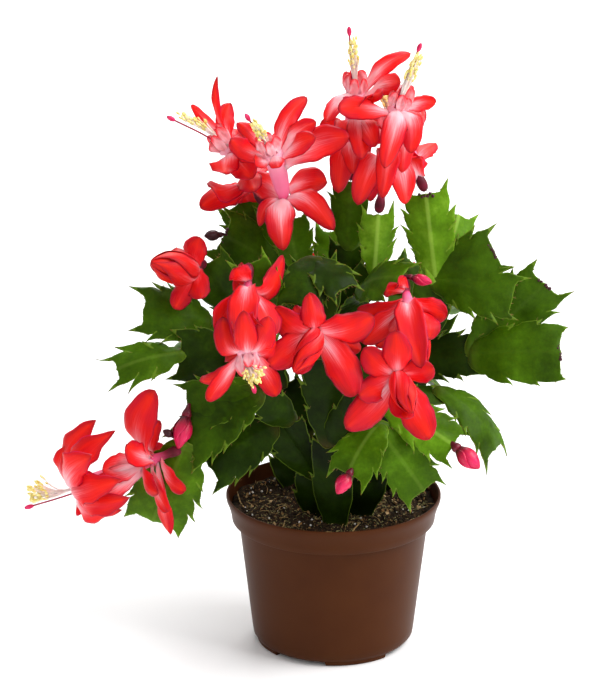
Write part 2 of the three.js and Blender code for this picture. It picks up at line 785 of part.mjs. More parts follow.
// Point and direction on the axis: 0 is the base, 1 the throat and 2 the far end.
function axisAt(axis, place) {
  return [axis.getPoint(place / 2), axis.getTangent(place / 2)];
}

// How far a blade that runs along lead twists to turn one of its two faces to the light
function twistTo(light, face, lead) {
  const square = new THREE.Vector3().crossVectors(face, light).dot(lead);
  const full = Math.atan(square / face.dot(light));
  return THREE.MathUtils.clamp(full, -radians(flower.mostTurn), radians(flower.mostTurn));
}

// A petal is an arched, pointed blade on a curve that leaves the tube at an angle and ends at its tip.
function petal(origin, direction, tip, rootRadius, startAngle, width, light, grow) {
  const reach = new THREE.Vector3().subVectors(tip, origin);
  const out = reach.clone().addScaledVector(direction, -reach.dot(direction)).normalize();
  const root = origin.clone().addScaledVector(out, rootRadius);
  const angle = radians(startAngle);
  const start = direction.clone().multiplyScalar(Math.cos(angle)).addScaledVector(out, Math.sin(angle));
  const bend = root.clone().addScaledVector(start, flower.petalBend * root.distanceTo(tip));
  const curve = new THREE.QuadraticBezierCurve3(root, bend, tip);
  const outAcross = new THREE.Vector3().crossVectors(direction, out).normalize();
  const front = (1 - flower.keelBack) * flower.petalKeel;
  const back = flower.keelBack * flower.petalKeel;
  const innerFace = (lead) => new THREE.Vector3().crossVectors(outAcross, lead);
  const midLead = curve.getTangent(flower.midPetal);
  const fullTurn = twistTo(light, innerFace(midLead), midLead);
  const rings = flower.petal.map(([t, share]) => {
    const place = curve.getPoint(t);
    const lead = curve.getTangent(t);
    const inner = innerFace(lead).applyAxisAngle(lead, Math.min(1, flower.turnPace * t) * fullTurn);
    const across = new THREE.Vector3().crossVectors(lead, inner);
    const halfWidth = (width / 2) * share + grow;
    const corner = (out, up) => place.clone().addScaledVector(across, out).addScaledVector(inner, up);
    const ring = [corner(halfWidth, front + grow), corner(-halfWidth, front + grow), corner(0, -back - grow)];
    if (grow > 0) {
      ring.splice(2, 0, corner(-halfWidth, front - grow));
      ring.push(corner(halfWidth, front - grow));
    }
    return ring;
  });
  rings.push([tip.clone().addScaledVector(curve.getTangent(1), flower.tipGrow * grow)]);
  return loft(rings);
}

function whorl(axis, place, tips, rootRadius, startAngle, width, light, grow) {
  const [origin, direction] = axisAt(axis, place);
  return tips.map((tip) => petal(origin, direction, vec(tip), rootRadius, startAngle, width, light, grow));
}

function lightOn({ base }) {
  return vec(base[1] > farSide ? backLight : frontLight);
}

// Ovary and tube in one piece, with a pit in the mouth where stamens and style stand
function flowerTube(axis, tube, pitDepth, grow) {
  const length = axis.getPoint(0).distanceTo(axis.getPoint(0.5));
  const stations = [...flower.ovary.map(([distance, radius]) => [distance / length, radius]), ...tube];
  const rings = stations
    .filter(([place], i) => i === 0 || place - stations[i - 1][0] > flower.ringGap)
    .map(([place, radius]) => {
      const [centre, direction] = axisAt(axis, place);
      return circle(centre, direction, radius, flower.tubeSides, grow);
    });
  if (pitDepth > 0) {
    const [centre, direction] = axisAt(axis, 1);
    const floor = centre.clone().addScaledVector(direction, -pitDepth);
    rings.push(circle(centre, direction, flower.pitRadius, flower.tubeSides, -grow));
    rings.push(circle(floor, direction, flower.pitRadius, flower.tubeSides, -grow));
  }
  return loft(rings);
}

function buildOpenFlower(spec, grow) {
  const axis = flowerAxis(spec);
  const light = lightOn(spec);
  const { collar, outer, inner } = spec;
  const { outerRoot, outerStart, outerWidth, innerPlace, innerRoot, innerStart, innerWidth } = flower;
  const solids = [
    flowerTube(axis, flower.tube, flower.pitDepth, grow),
    ...whorl(axis, collar, outer, outerRoot, outerStart, outerWidth, light, grow),
    ...whorl(axis, innerPlace, inner, innerRoot, innerStart, innerWidth, light, grow),
  ];
  return fuse(solids);
}

// The closed heart of a half open flower: inner petals wound round each other, as lobes of one body
function closedHeart(axis, radius, grow) {
  const rings = flower.heart.map(([place, share]) => {
    const [centre, direction] = axisAt(axis, place);
    const [u, v] = crossDirections(direction);
    const ring = [];
    for (let i = 0; i < flower.heartSides; i += 1) {
      const turn = (2 * Math.PI * (i + flower.heartTwist * place)) / flower.heartSides;
      const lobe = i % 2 === 0 ? 1 : flower.heartLobe;
      ring.push(centre.clone()
        .addScaledVector(u, (radius * share * lobe + grow) * Math.cos(turn))
        .addScaledVector(v, (radius * share * lobe + grow) * Math.sin(turn)));
    }
    return ring;
  });
  rings.push([axisAt(axis, 2)[0]]);
  return loft(rings);
}

function buildHalfOpenFlower(spec, grow) {
  const axis = flowerAxis(spec);
  const { outerRoot, halfOpenPlace, halfOpenStart, halfOpenWidth } = flower;
  const solids = [
    flowerTube(axis, flower.closedTube, 0, grow),
    closedHeart(axis, spec.heartRadius, grow),
    ...whorl(axis, halfOpenPlace, spec.outer, outerRoot, halfOpenStart, halfOpenWidth, lightOn(spec), grow),
  ];
  return fuse(solids);
}

// The lower part of the stamens, grown together in one bundle that stands in the pit
function stamenBundle(axis, rise, grow) {
  const [throat, direction] = axisAt(axis, 1);
  const floor = throat.clone().addScaledVector(direction, seam - flower.pitDepth).add(rise);
  const { coreRadius, coreTip, coreSides, corePlaces } = stamens;
  const rings = [circle(floor, direction, coreRadius, coreSides, grow)];
  [coreRadius, coreTip].forEach((radius, i) => {
    const [centre, lead] = axisAt(axis, corePlaces[i]);
    rings.push(circle(centre.add(rise), lead, radius, coreSides, grow));
  });
  return loft(rings);
}

function buildStamens(spec, grow) {
  const axis = flowerAxis(spec);
  const [, direction] = axisAt(axis, 1);
  const rise = crossDirections(direction)[0].multiplyScalar(stamens.rise);
  const solids = [stamenBundle(axis, rise, grow)];
  for (let i = 0; i < stamens.filaments; i += 1) {
    const turn = (2 * Math.PI * i) / stamens.filaments + stamens.firstTurn;
    const share = (i % 3) / 2;
    const reach = stamens.reach[0] + (stamens.reach[1] - stamens.reach[0]) * share;
    const spread = stamens.spread * (1 - stamens.narrowing * share);
    const at = (place, distance) => {
      const [centre, lead] = axisAt(axis, place);
      const [a, b] = crossDirections(lead);
      return centre.add(rise)
        .addScaledVector(a, distance * (stamens.lift + Math.cos(turn)) * stamens.flatness)
        .addScaledVector(b, distance * Math.sin(turn));
    };
    const rootPoint = at(stamens.firstParting, stamens.filamentRadius);
    const endPoint = at(1 + reach, spread);
    const lead = new THREE.Vector3().subVectors(endPoint, rootPoint).normalize();
    solids.push(loft([
      circle(rootPoint, lead, stamens.filamentRadius, stamens.filamentSides, grow),
      circle(endPoint, lead, stamens.antherRadius, stamens.filamentSides, grow),
      [endPoint.clone().addScaledVector(lead, stamens.antherLength + 2 * grow)],
    ]));
  }
  return fuse(solids);
}

function buildStyle(spec, grow) {
  const axis = flowerAxis(spec);
  const [throat, direction] = axisAt(axis, 1);
  const drop = crossDirections(direction)[0].multiplyScalar(-style.drop);
  const floor = throat.clone().addScaledVector(direction, seam - flower.pitDepth).add(drop);
  const rings = [circle(floor, direction, style.radius, style.sides, grow)];
  const length = throat.distanceTo(axis.getPoint(1));
  const knobStart = 2 - style.knobLength / length;
  const stations = [
    [style.straight, style.radius],
    [(style.straight + knobStart) / 2, style.radius],
    [knobStart, style.radius],
    [(knobStart + 2) / 2, style.knobRadius],
  ];
  for (const [place, radius] of stations) {
    const [centre, lead] = axisAt(axis, place);
    rings.push(circle(centre.add(drop), lead, radius, style.sides, grow));
  }
  rings.push([axisAt(axis, 2)[0].add(drop)]);
  return loft(rings);
}

// Buds

function buildBud([base, tip, radius], grow) {
  const from = vec(base);
  const lead = new THREE.Vector3().subVectors(vec(tip), from);
  const length = lead.length();
  lead.normalize();
  const stations = [[bud.start / length, bud.startShare], ...bud.rings];
  const rings = stations.map(([t, share]) => {
    const centre = from.clone().addScaledVector(lead, t * length);
    return circle(centre, lead, radius * share, bud.sides, grow);
  });
  rings.push([from.clone().addScaledVector(lead, length + grow)]);
  return loft(rings);
}

// Assembly: a piece that would run through one already in place is cut clear of it by the seam.

const pieces = [];

function addPiece(name, material, build) {
  let solid = build(0);
  for (const other of pieces) {
    if (solid.intersect(other.solid).volume() > 0) {
      other.grown ??= other.build(seam);
      solid = solid.subtract(other.grown);
    }
  }
  solid = largestBody(solid.asOriginal().simplify(tolerance));
  pieces.push({ name, material, build, solid });
}

addPiece('pot', finishes.pot, buildPot);
addPiece('compost', finishes.compost, buildCompost);
for (const [name, spec] of Object.entries(leafyStems)) {
  addPiece(name, finishes.leaf, (grow) => buildStem(spec, grow));
}
for (const [name, spec] of Object.entries(buds)) {
  addPiece(name, finishes.bud, (grow) => buildBud(spec, grow));
}
for (const [name, spec] of Object.entries(openFlowers)) {
  addPiece(`${name}_style`, finishes.style, (grow) => buildStyle(spec, grow));
  addPiece(`${name}_stamens`, finishes.stamen, (grow) => buildStamens(spec, grow));
}
for (const [name, spec] of Object.entries(halfOpenFlowers)) {
  addPiece(name, finishes.petal, (grow) => buildHalfOpenFlower(spec, grow));
}
for (const [name, spec] of Object.entries(openFlowers)) {
  addPiece(name, finishes.petal, (grow) => buildOpenFlower(spec, grow));
}

const model = new THREE.Group();
for (const { name, material, solid } of pieces) {
  const geometry = geometryFromSolid(solid);
  geometry.computeVertexNormals();
  const mesh = new THREE.Mesh(geometry, material);
  mesh.name = name;
  model.add(mesh);
}

export default model;
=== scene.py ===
import math

import bpy
import numpy as np
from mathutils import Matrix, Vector, geometry


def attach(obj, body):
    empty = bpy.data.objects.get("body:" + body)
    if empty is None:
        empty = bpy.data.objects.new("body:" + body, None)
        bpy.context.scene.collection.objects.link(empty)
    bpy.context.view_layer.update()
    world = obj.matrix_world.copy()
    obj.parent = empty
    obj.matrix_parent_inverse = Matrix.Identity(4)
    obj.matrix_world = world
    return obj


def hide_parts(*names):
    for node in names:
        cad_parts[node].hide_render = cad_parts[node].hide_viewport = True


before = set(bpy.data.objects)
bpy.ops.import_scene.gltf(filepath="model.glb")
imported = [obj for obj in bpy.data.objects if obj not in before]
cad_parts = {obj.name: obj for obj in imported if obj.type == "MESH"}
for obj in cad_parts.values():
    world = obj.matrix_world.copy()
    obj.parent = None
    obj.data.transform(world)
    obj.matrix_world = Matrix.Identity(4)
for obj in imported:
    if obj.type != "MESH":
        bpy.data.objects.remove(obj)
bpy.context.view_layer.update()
fullTurn = 2 * math.pi


# Nodes. Where a number or a colour goes in, another node's output can go in too.

def linear(hexText):
    channels = [int(hexText[i:i + 2], 16) / 255 for i in (1, 3, 5)]
    return [c / 12.92 if c <= 0.04045 else ((c + 0.055) / 1.055) ** 2.4 for c in channels] + [1.0]


def addNode(tree, kind, inputs=(), output=0, stops=(), **settings):
    # inputs by name or number, or a list of the first ones; it gives one of the new node's outputs
    node = tree.nodes.new(kind)
    for key, value in settings.items():
        setattr(node, key, value)
    for key, value in inputs.items() if isinstance(inputs, dict) else enumerate(inputs):
        if isinstance(value, bpy.types.NodeSocket):
            tree.links.new(value, node.inputs[key])
        else:
            isTone = isinstance(value, str) and value[0] == "#"
            node.inputs[key].default_value = linear(value) if isTone else value
    for i, (place, tone) in enumerate(stops):
        if i >= len(node.color_ramp.elements):
            node.color_ramp.elements.new(1)
        node.color_ramp.elements[i].position = place
        node.color_ramp.elements[i].color = linear(tone)
    return node.outputs[output] if len(node.outputs) else None


def weighed(tree, start, *terms):
    # start plus every value times its weight, kept between 0 and 1
    for i, (value, weight) in enumerate(terms, 1):
        start = addNode(tree, "ShaderNodeMath", [value, weight, start], operation="MULTIPLY_ADD",
                        use_clamp=i == len(terms))
    return start


def painted(tree, tone, *layers):
    # a colour under layers of (share, colour)
    for share, layer in layers:
        tone = addNode(tree, "ShaderNodeMix", {0: share, 6: tone, 7: layer}, 2, data_type="RGBA")
    return tone


def newTree(name, *labels):
    # a tree with a geometry in and out and named inputs: seeds are whole numbers, finishes are materials
    tree = bpy.data.node_groups.new(name, "GeometryNodeTree")
    for label in ("Geometry", *labels):
        kind = "Material" if label.lower().endswith("finish") else "Float"
        kind = {"Geometry": "Geometry", "Seed": "Int"}.get(label, kind)
        tree.interface.new_socket(label, in_out="INPUT", socket_type="NodeSocket" + kind)
    tree.interface.new_socket("Geometry", in_out="OUTPUT", socket_type="NodeSocketGeometry")
    return tree, addNode(tree, "NodeGroupInput").node.outputs


def placeCopies(tree, points, bit, turn, size, finish, **more):
    # real copies of a bit on every point
    inputs = {"Points": points, "Instance": bit, "Rotation": turn, "Scale": size, **more}
    copies = addNode(tree, "GeometryNodeInstanceOnPoints", inputs)
    real = addNode(tree, "GeometryNodeRealizeInstances", {0: copies})
    return addNode(tree, "GeometryNodeSetMaterial", {"Geometry": real, "Material": finish})


def thicken(tree, line, sides, radius):
    loop = addNode(tree, "GeometryNodeCurvePrimitiveCircle", {"Resolution": sides, "Radius": radius})
    inputs = {"Curve": line, "Profile Curve": loop, "Fill Caps": True}
    return addNode(tree, "GeometryNodeCurveToMesh", inputs)


# Finishes

def newFinish(name, **shader):
    # underscores in the keys stand for spaces
    material = bpy.data.materials.new(name)
    material.use_nodes = True
    tree = material.node_tree
    tree.nodes.clear()
    skin = addNode(tree, "ShaderNodeBsdfPrincipled", {key.replace("_", " "): v for key, v in shader.items()})
    addNode(tree, "ShaderNodeOutputMaterial", {"Surface": skin})
    return material, tree, skin.node.inputs


def dress(tree, skin, tone, height=None, strength=0.0, depth=0.0, rough=None):
    # colour, fine relief and uneven roughness
    tree.links.new(tone, skin["Base Color"])
    if rough is not None:
        tree.links.new(rough, skin["Roughness"])
    if height is not None:
        bump = addNode(tree, "ShaderNodeBump", {"Height": height, "Strength": strength, "Distance": depth})
        tree.links.new(bump, skin["Normal"])


# Numbers and directions

def unit(v):
    v = np.asarray(v, float)
    return v / np.maximum(np.linalg.norm(v, axis=-1, keepdims=True), 1e-9)


def smooth(low, high, x):
    share = np.clip((np.asarray(x, float) - low) / (high - low), 0, 1)
    return share * share * (3 - 2 * share)


def chanceFor(name, more=0):
    return np.random.default_rng(sum(map(ord, name)) + more)


def crossDirections(axis):
    hint = np.array([0, -1.0, 0]) if abs(axis[2]) > 0.8 else np.array([0, 0, 1.0])
    u = unit(hint - np.dot(hint, axis) * axis)
    return u, np.cross(axis, u)


# Pieces. Points, faces and marks of one piece are gathered shape by shape. Marks are numbers for each point
# that the materials read by name.

def addObject(name, data):
    thing = bpy.data.objects.new(name, data)
    bpy.context.scene.collection.objects.link(thing)
    return thing


def newParts(*markNames):
    return {"points": [], "faces": [], "materials": [], "marks": [], "names": markNames, "count": 0}


def addShape(parts, points, faces, marks, material=0):
    points = np.asarray(points, float).reshape(-1, 3)
    columns = [np.broadcast_to(np.asarray(m, float).reshape(-1), len(points)) for m in marks]
    parts["points"].append(points)
    parts["marks"].append(np.stack(columns, 1) if columns else np.zeros((len(points), 0)))
    parts["faces"] += [tuple(i + parts["count"] for i in face) for face in faces]
    parts["materials"] += [material] * len(faces)
    parts["count"] += len(points)


def makeMesh(name, parts, materials):
    mesh = bpy.data.meshes.new(name)
    mesh.from_pydata((np.vstack(parts["points"]) * 0.001).tolist(), [], parts["faces"])
    for markName, values in zip(parts["names"], np.vstack(parts["marks"]).T):
        column = mesh.attributes.new(markName, "FLOAT", "POINT")
        column.data.foreach_set("value", np.ascontiguousarray(values, np.float32))
    for material in materials:
        mesh.materials.append(material)
    mesh.polygons.foreach_set("material_index", parts["materials"])
    mesh.polygons.foreach_set("use_smooth", [True] * len(mesh.polygons))
    mesh.update()
    return addObject(name, mesh)


def makeThreads(name, points, edges, **fields):
    # points and edges that a node tree turns into bodies
    mesh = bpy.data.meshes.new(name)
    mesh.from_pydata((np.array(points) * 0.001).tolist(), edges, [])
    for fieldName, values in fields.items():
        kind, key = ("FLOAT_VECTOR", "vector") if np.ndim(values) > 1 else ("FLOAT", "value")
        mesh.attributes.new(fieldName, kind, "POINT").data.foreach_set(key, np.ravel(values))
    return addObject(name, mesh)


def keepPiece(piece, slot, *nodes):
    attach(piece, "root")
    if nodes:
        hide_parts(*nodes)


def applyModifier(piece, modifier):
    bpy.context.view_layer.update()
    graph = bpy.context.evaluated_depsgraph_get()
    made = bpy.data.meshes.new_from_object(piece.evaluated_get(graph), depsgraph=graph)
    piece.modifiers.remove(modifier)
    piece.data = made


def runTree(piece, tree, values):
    modifier = piece.modifiers.new(tree.name, "NODES")
    modifier.node_group = tree
    sockets = {item.name: item.identifier for item in tree.interface.items_tree if item.in_out == "INPUT"}
    for key, value in values.items():
        modifier[sockets[key]] = value
    applyModifier(piece, modifier)


# Shapes

def ringFaces(rows, sides):
    starts = [(k * sides, i, (i + 1) % sides) for k in range(rows - 1) for i in range(sides)]
    return [(a + i, a + j, a + sides + j, a + sides + i) for a, i, j in starts]


def addRings(parts, rings, first, last, marks=(), material=0):
    # a stack of rings of points, closed at both ends by a fan round one more point
    rows, sides = len(rings), len(rings[0])
    faces = ringFaces(rows, sides)
    for i in range(sides):
        j = (i + 1) % sides
        faces += [(rows * sides, j, i), (rows * sides + 1, (rows - 1) * sides + i, (rows - 1) * sides + j)]
    addShape(parts, np.vstack([*rings, first, last]), faces, marks, material)


def addTube(parts, stations, sides, marks=None, material=0):
    # stations of (centre, direction, radius); marks for each of them
    angles = np.linspace(0, fullTurn, sides, endpoint=False)[:, None]
    rings = []
    for centre, direction, radius in stations:
        u, v = crossDirections(unit(direction))
        rings.append(centre + radius * (np.cos(angles) * u + np.sin(angles) * v))
    values = np.array(marks or [[]] * len(stations), float)
    values = np.vstack([np.repeat(values, sides, axis=0), values[0], values[-1]])
    addRings(parts, rings, stations[0][0], stations[-1][0], list(values.T), material)


def addSheet(parts, sheet, thickness, marks):
    # a thin body of tissue on a grid of points, closed all round: rows along it, columns across it
    rows, columns = sheet.shape[:2]
    side = np.linspace(-1, 1, columns)
    body = np.outer(np.r_[0, np.ones(rows - 2), 0], 1 - side ** 4)[..., None] * thickness / 2
    # the sheet's own normal, so that a steep side is as thick as a level one
    normal = unit(np.cross(np.gradient(sheet, axis=1), np.gradient(sheet, axis=0)))
    upper = np.arange(rows * columns).reshape(rows, columns)
    lower = upper.copy()
    lower[1:-1, 1:-1] = rows * columns + np.arange((rows - 2) * (columns - 2)).reshape(rows - 2, columns - 2)
    faces = []
    for i in range(rows - 1):
        for j in range(columns - 1):
            faces.append((upper[i, j], upper[i, j + 1], upper[i + 1, j + 1], upper[i + 1, j]))
            faces.append((lower[i, j], lower[i + 1, j], lower[i + 1, j + 1], lower[i, j + 1]))
    under = (sheet - normal * body)[1:-1, 1:-1]
    grids = [np.broadcast_to(m, (rows, columns)) for m in marks]
    values = [np.r_[g.reshape(-1), g[1:-1, 1:-1].reshape(-1)] for g in grids]
    addShape(parts, np.vstack([(sheet + normal * body).reshape(-1, 3), under.reshape(-1, 3)]), faces, values)


def curveThrough(points):
    # centripetal Catmull-Rom through three places, as a function from 0, the first, over 1 to 2, the last;
    # it gives the place and the direction there
    p = [np.asarray(v, float) for v in points]
    p = [2 * p[0] - p[1], *p, 2 * p[2] - p[1]]
    gaps = [max(np.linalg.norm(b - a) ** 0.5, 1e-4) for a, b in zip(p, p[1:])]

    def at(place):
        k = 0 if place < 1 else 1
        t = min(max(place - k, 0), 1)
        d0, d1, d2 = gaps[k:k + 3]
        a, b, c, d = p[k:k + 4]
        m1 = ((b - a) / d0 - (c - a) / (d0 + d1) + (c - b) / d1) * d1
        m2 = ((c - b) / d1 - (d - b) / (d1 + d2) + (d - c) / d2) * d1
        return ((2 * t ** 3 - 3 * t ** 2 + 1) * b + (t ** 3 - 2 * t ** 2 + t) * m1
                + (3 * t ** 2 - 2 * t ** 3) * c + (t ** 3 - t ** 2) * m2)

    def axis(place):
        lead = unit(at(min(place + 0.01, 2)) - at(max(place - 0.01, 0)))
        return at(min(place, 2)) + max(place - 2, 0) * np.linalg.norm(p[3] - p[2]) * lead, lead

    return axis


# Materials

def polypropylene():
    # injection-moulded polypropylene pot: brown through and through, satin, with a faint orange-peel skin;
    # clouds in tone and gloss are 26 mm wide, the bumps of the peel 1.1 mm
    material, tree, skin = newFinish("mouldedPolypropylene", Roughness=0.4, IOR=1.49,
                                     Specular_IOR_Level=0.07)
    place = addNode(tree, "ShaderNodeTexCoord", output="Object")
    inputs = {"Vector": place, "Scale": 38, "Detail": 4, "Roughness": 0.55}
    cloud = addNode(tree, "ShaderNodeTexNoise", inputs)
    peel = addNode(tree, "ShaderNodeTexNoise", {"Vector": place, "Scale": 900, "Detail": 2})
    rough = addNode(tree, "ShaderNodeMapRange", [cloud, 0.0, 1.0, 0.36, 0.48])
    tone = addNode(tree, "ShaderNodeMix", {0: cloud, 6: "#3f1e0b", 7: "#4b2810"}, 2, data_type="RGBA")
    dress(tree, skin, tone, peel, 0.25, 0.00008, rough)
    return material


def peatCompost():
    # milled black peat: matte, nearly black when moist, with brown crumbs and grey dust on top; crumbs are
    # 2 mm wide with finer ones on them, moist patches 17 mm
    material, tree, skin = newFinish("milledPeat", Roughness=0.95, IOR=1.45, Specular_IOR_Level=0.25)
    place = addNode(tree, "ShaderNodeTexCoord", output="Object")
    inputs = {"Vector": place, "Scale": 520, "Detail": 5, "Roughness": 0.7}
    crumb = addNode(tree, "ShaderNodeTexNoise", inputs)
    patch = addNode(tree, "ShaderNodeTexNoise", {"Vector": place, "Scale": 60, "Detail": 3})
    tone = addNode(tree, "ShaderNodeValToRGB", [crumb],
                   stops=[(0.3, "#0f0a05"), (0.48, "#281b0e"), (0.6, "#523c22"), (0.74, "#a08252")])
    tone = addNode(tree, "ShaderNodeMix", {0: patch, 6: tone, 7: "#1c150d"}, 2, data_type="RGBA")
    dress(tree, skin, tone, crumb, 0.8, 0.0006)
    return material


def mottled(name, low, high, scale, roughness, places=(0.38, 0.62), detail=3, **shader):
    # loose bits, and threads of flowers: two tones in soft blotches about as large as a bit, 1 to 4 mm
    material, tree, skin = newFinish(name, **{"Roughness": roughness, "IOR": 1.45, **shader})
    place = addNode(tree, "ShaderNodeTexCoord", output="Object")
    spots = addNode(tree, "ShaderNodeTexNoise", {"Vector": place, "Scale": scale, "Detail": detail})
    dress(tree, skin, addNode(tree, "ShaderNodeValToRGB", [spots], stops=zip(places, (low, high))))
    return material


def stemSkin():
    # waxy skin of a flat stem segment: satin, darker with age, pale over the midrib and along the margin;
    # the darkest, oldest tones are partly painted shade of the crowded inner stems; clouds are 18 mm wide,
    # and flecks, finer on the plant, are drawn 1.4 mm wide so that they show
    material, tree, skin = newFinish("waxyStemSkin", Roughness=0.4, IOR=1.42, Specular_IOR_Level=0.08,
                                     Subsurface_Weight=0.05, Subsurface_Scale=0.002,
                                     Subsurface_Radius=(0.6, 1.0, 0.1))
    ageAndShade, rib, rim, claw, along = (addNode(tree, "ShaderNodeAttribute", output="Fac", attribute_name=name)
                                  for name in ("youth", "rib", "rim", "claw", "along"))
    place = addNode(tree, "ShaderNodeTexCoord", output="Object")
    inputs = {"Vector": place, "Scale": 55, "Detail": 4, "Roughness": 0.6}
    cloud = addNode(tree, "ShaderNodeTexNoise", inputs)
    fleck = addNode(tree, "ShaderNodeTexNoise", {"Vector": place, "Scale": 700, "Detail": 3})
    shift = addNode(tree, "ShaderNodeMapRange", [cloud, 0.3, 0.7, -0.17, 0.17])
    shade = addNode(tree, "ShaderNodeMath", [ageAndShade, shift], operation="ADD", use_clamp=True)
    # the dark end of the ramp is partly painted shade: old segments sit in the crowded, shaded core
    tone = addNode(tree, "ShaderNodeValToRGB", [shade], stops=[
        (0.0, "#0c1601"), (0.3, "#203402"), (0.6, "#3d5e04"), (0.8, "#56800f"), (1.0, "#7ca62c")])
    grain = addNode(tree, "ShaderNodeMapRange", [fleck, 0.3, 0.7, 0.9, 1.1])
    tone = addNode(tree, "ShaderNodeMix", {0: 1.0, 6: tone, 7: grain}, 2, data_type="RGBA",
                   blend_type="MULTIPLY")
    # midrib: 1.6 mm wide, strongest in young segments
    soft = {"interpolation_type": "SMOOTHSTEP"}
    ribShare = addNode(tree, "ShaderNodeMapRange", [rib, 0.3, 1.6, 0.55, 0.0], **soft)
    young = addNode(tree, "ShaderNodeMapRange", [ageAndShade, 0.45, 1.0, 0.0, 1.0], **soft)
    ribShare = addNode(tree, "ShaderNodeMath", [ribShare, young], operation="MULTIPLY")
    # margin: a pale line 0.5 mm wide, brown at the points of the teeth
    rimShare = addNode(tree, "ShaderNodeMapRange", [rim, 0.05, 0.6, 0.34, 0.0], **soft)
    tipShare = addNode(tree, "ShaderNodeMapRange", [claw, 0.55, 1.0, 0.0, 0.85])
    # corky neck of old segments
    neck = addNode(tree, "ShaderNodeMapRange", [along, 0.02, 0.16, 0.45, 0.0])
    old = addNode(tree, "ShaderNodeMath", [1.0, ageAndShade], operation="SUBTRACT")
    neckShare = addNode(tree, "ShaderNodeMath", [neck, old], operation="MULTIPLY")
    tone = painted(tree, tone, (ribShare, "#a3c552"), (rimShare, "#86a534"), (tipShare, "#6b4a22"),
                   (neckShare, "#5a4a28"))
    rough = addNode(tree, "ShaderNodeMapRange", [cloud, 0.3, 0.7, 0.34, 0.5])
    relief = addNode(tree, "ShaderNodeMath", [fleck, 0.16, cloud], operation="MULTIPLY_ADD")
    dress(tree, skin, tone, relief, 0.5, 0.0007, rough)
    return material


def flowerMarks(tree, wide, long):
    # how far along a petal, tube or bud, how pale, and a place on it that differs from petal to petal
    along, across, pale, seed = (addNode(tree, "ShaderNodeAttribute", output="Fac", attribute_name=name)
                                 for name in ("along", "across", "pale", "seed"))
    x = addNode(tree, "ShaderNodeMath", [across, wide], operation="MULTIPLY")
    y = addNode(tree, "ShaderNodeMath", [along, long], operation="MULTIPLY")
    return along, pale, addNode(tree, "ShaderNodeCombineXYZ", [x, y, seed])


def petalTissue():
    # petal: thin moist tissue, pale where it leaves the tube, then red, with veins along it, 1 mm apart
    material, tree, skin = newFinish("petalTissue", Roughness=0.42, IOR=1.4, Specular_IOR_Level=0.2,
                                     Subsurface_Weight=0.5, Subsurface_Scale=0.0014,
                                     Subsurface_Radius=(1.0, 0.25, 0.2))
    along, pale, lane = flowerMarks(tree, 9.0, 1.3)
    inputs = {"Vector": lane, "Scale": 1.6, "Detail": 4, "Roughness": 0.6}
    veins = addNode(tree, "ShaderNodeTexNoise", inputs)
    across = addNode(tree, "ShaderNodeAttribute", output="Fac", attribute_name="across")
    edge = addNode(tree, "ShaderNodeMath", [across], operation="ABSOLUTE")
    # redder towards the tip and the edges and in the veins; the first number sets where the pale part ends
    place = weighed(tree, -0.4684, (along, 1.0), (edge, 0.52), (veins, 0.62), (pale, -0.46))
    tone = addNode(tree, "ShaderNodeValToRGB", [place], stops=[
        (0.0, "#ffc2cb"), (0.14, "#fb8c98"), (0.32, "#ee444e"), (0.5, "#e4161c"), (0.72, "#d60c12"),
        (1.0, "#aa0820")])
    # the middle of the red part is more orange: a painted highlight
    inner = addNode(tree, "ShaderNodeMath", [edge, -1.0, 1.0], operation="MULTIPLY_ADD", use_clamp=True)
    half = addNode(tree, "ShaderNodeMath", [along, 0.5], operation="MULTIPLY")
    warmHighlight = addNode(tree, "ShaderNodeMath", [inner, half], operation="MULTIPLY")
    # soft crimson clouds, 6 mm wide and 16 mm long, other ones on each petal: painted shade, laid at random
    sky = flowerMarks(tree, 0.9, 1.9)[2]
    clouds = addNode(tree, "ShaderNodeTexNoise", {"Vector": sky, "Scale": 1.3, "Detail": 1})
    crimsonShade = addNode(tree, "ShaderNodeMapRange", [clouds, 0.46, 0.68, 0.0, 0.62])
    far = addNode(tree, "ShaderNodeMath", [along, 0.7], operation="POWER")
    crimsonShade = addNode(tree, "ShaderNodeMath", [crimsonShade, far], operation="MULTIPLY")
    # a darker, magenta margin and tip; pale petals have hardly any
    strong = addNode(tree, "ShaderNodeMath", [pale, -0.5, 1.0], operation="MULTIPLY_ADD", use_clamp=True)
    rim = addNode(tree, "ShaderNodeMapRange", [edge, 0.84, 1.0, 0.0, 0.52])
    rim = addNode(tree, "ShaderNodeMath", [rim, strong], operation="MULTIPLY")
    tip = addNode(tree, "ShaderNodeMapRange", [along, 0.92, 1.0, 0.0, 0.7])
    tip = addNode(tree, "ShaderNodeMath", [tip, strong], operation="MULTIPLY")
    tone = painted(tree, tone, (warmHighlight, "#ec3210"), (crimsonShade, "#c00a2e"), (rim, "#96062a"), (tip, "#6a0620"))
    dress(tree, skin, tone, veins, 0.35, 0.0003)
    return material


def tubeTissue():
    # flower tube: pink and translucent with a few darker rings; the ovary under it is a red-brown berry
    material, tree, skin = newFinish("tubeTissue", Roughness=0.4, IOR=1.4, Specular_IOR_Level=0.2,
                                     Subsurface_Weight=0.12, Subsurface_Scale=0.002,
                                     Subsurface_Radius=(1.0, 0.3, 0.3))
    along, pale, lane = flowerMarks(tree, 6.0, 0.8)
    rings = addNode(tree, "ShaderNodeTexNoise", {"Vector": lane, "Scale": 2.2, "Detail": 3})
    tone = addNode(tree, "ShaderNodeValToRGB", [along], stops=[
        (0.0, "#2c0a0a"), (0.14, "#450c16"), (0.26, "#7a1430"), (0.38, "#ec568a"), (0.75, "#fa80a8"),
        (1.0, "#ffb0c4")])
    dark = addNode(tree, "ShaderNodeMapRange", [rings, 0.45, 0.7, 0.0, 0.55])
    far = addNode(tree, "ShaderNodeMath", [along, 2.0], operation="POWER")
    milk = addNode(tree, "ShaderNodeMath", [pale, 0.6], operation="MULTIPLY")
    milk = addNode(tree, "ShaderNodeMath", [far, milk], operation="MULTIPLY")
    dress(tree, skin, painted(tree, tone, (dark, "#dc2a62"), (milk, "#fbd6de")), rings, 0.3, 0.0003)
    return material


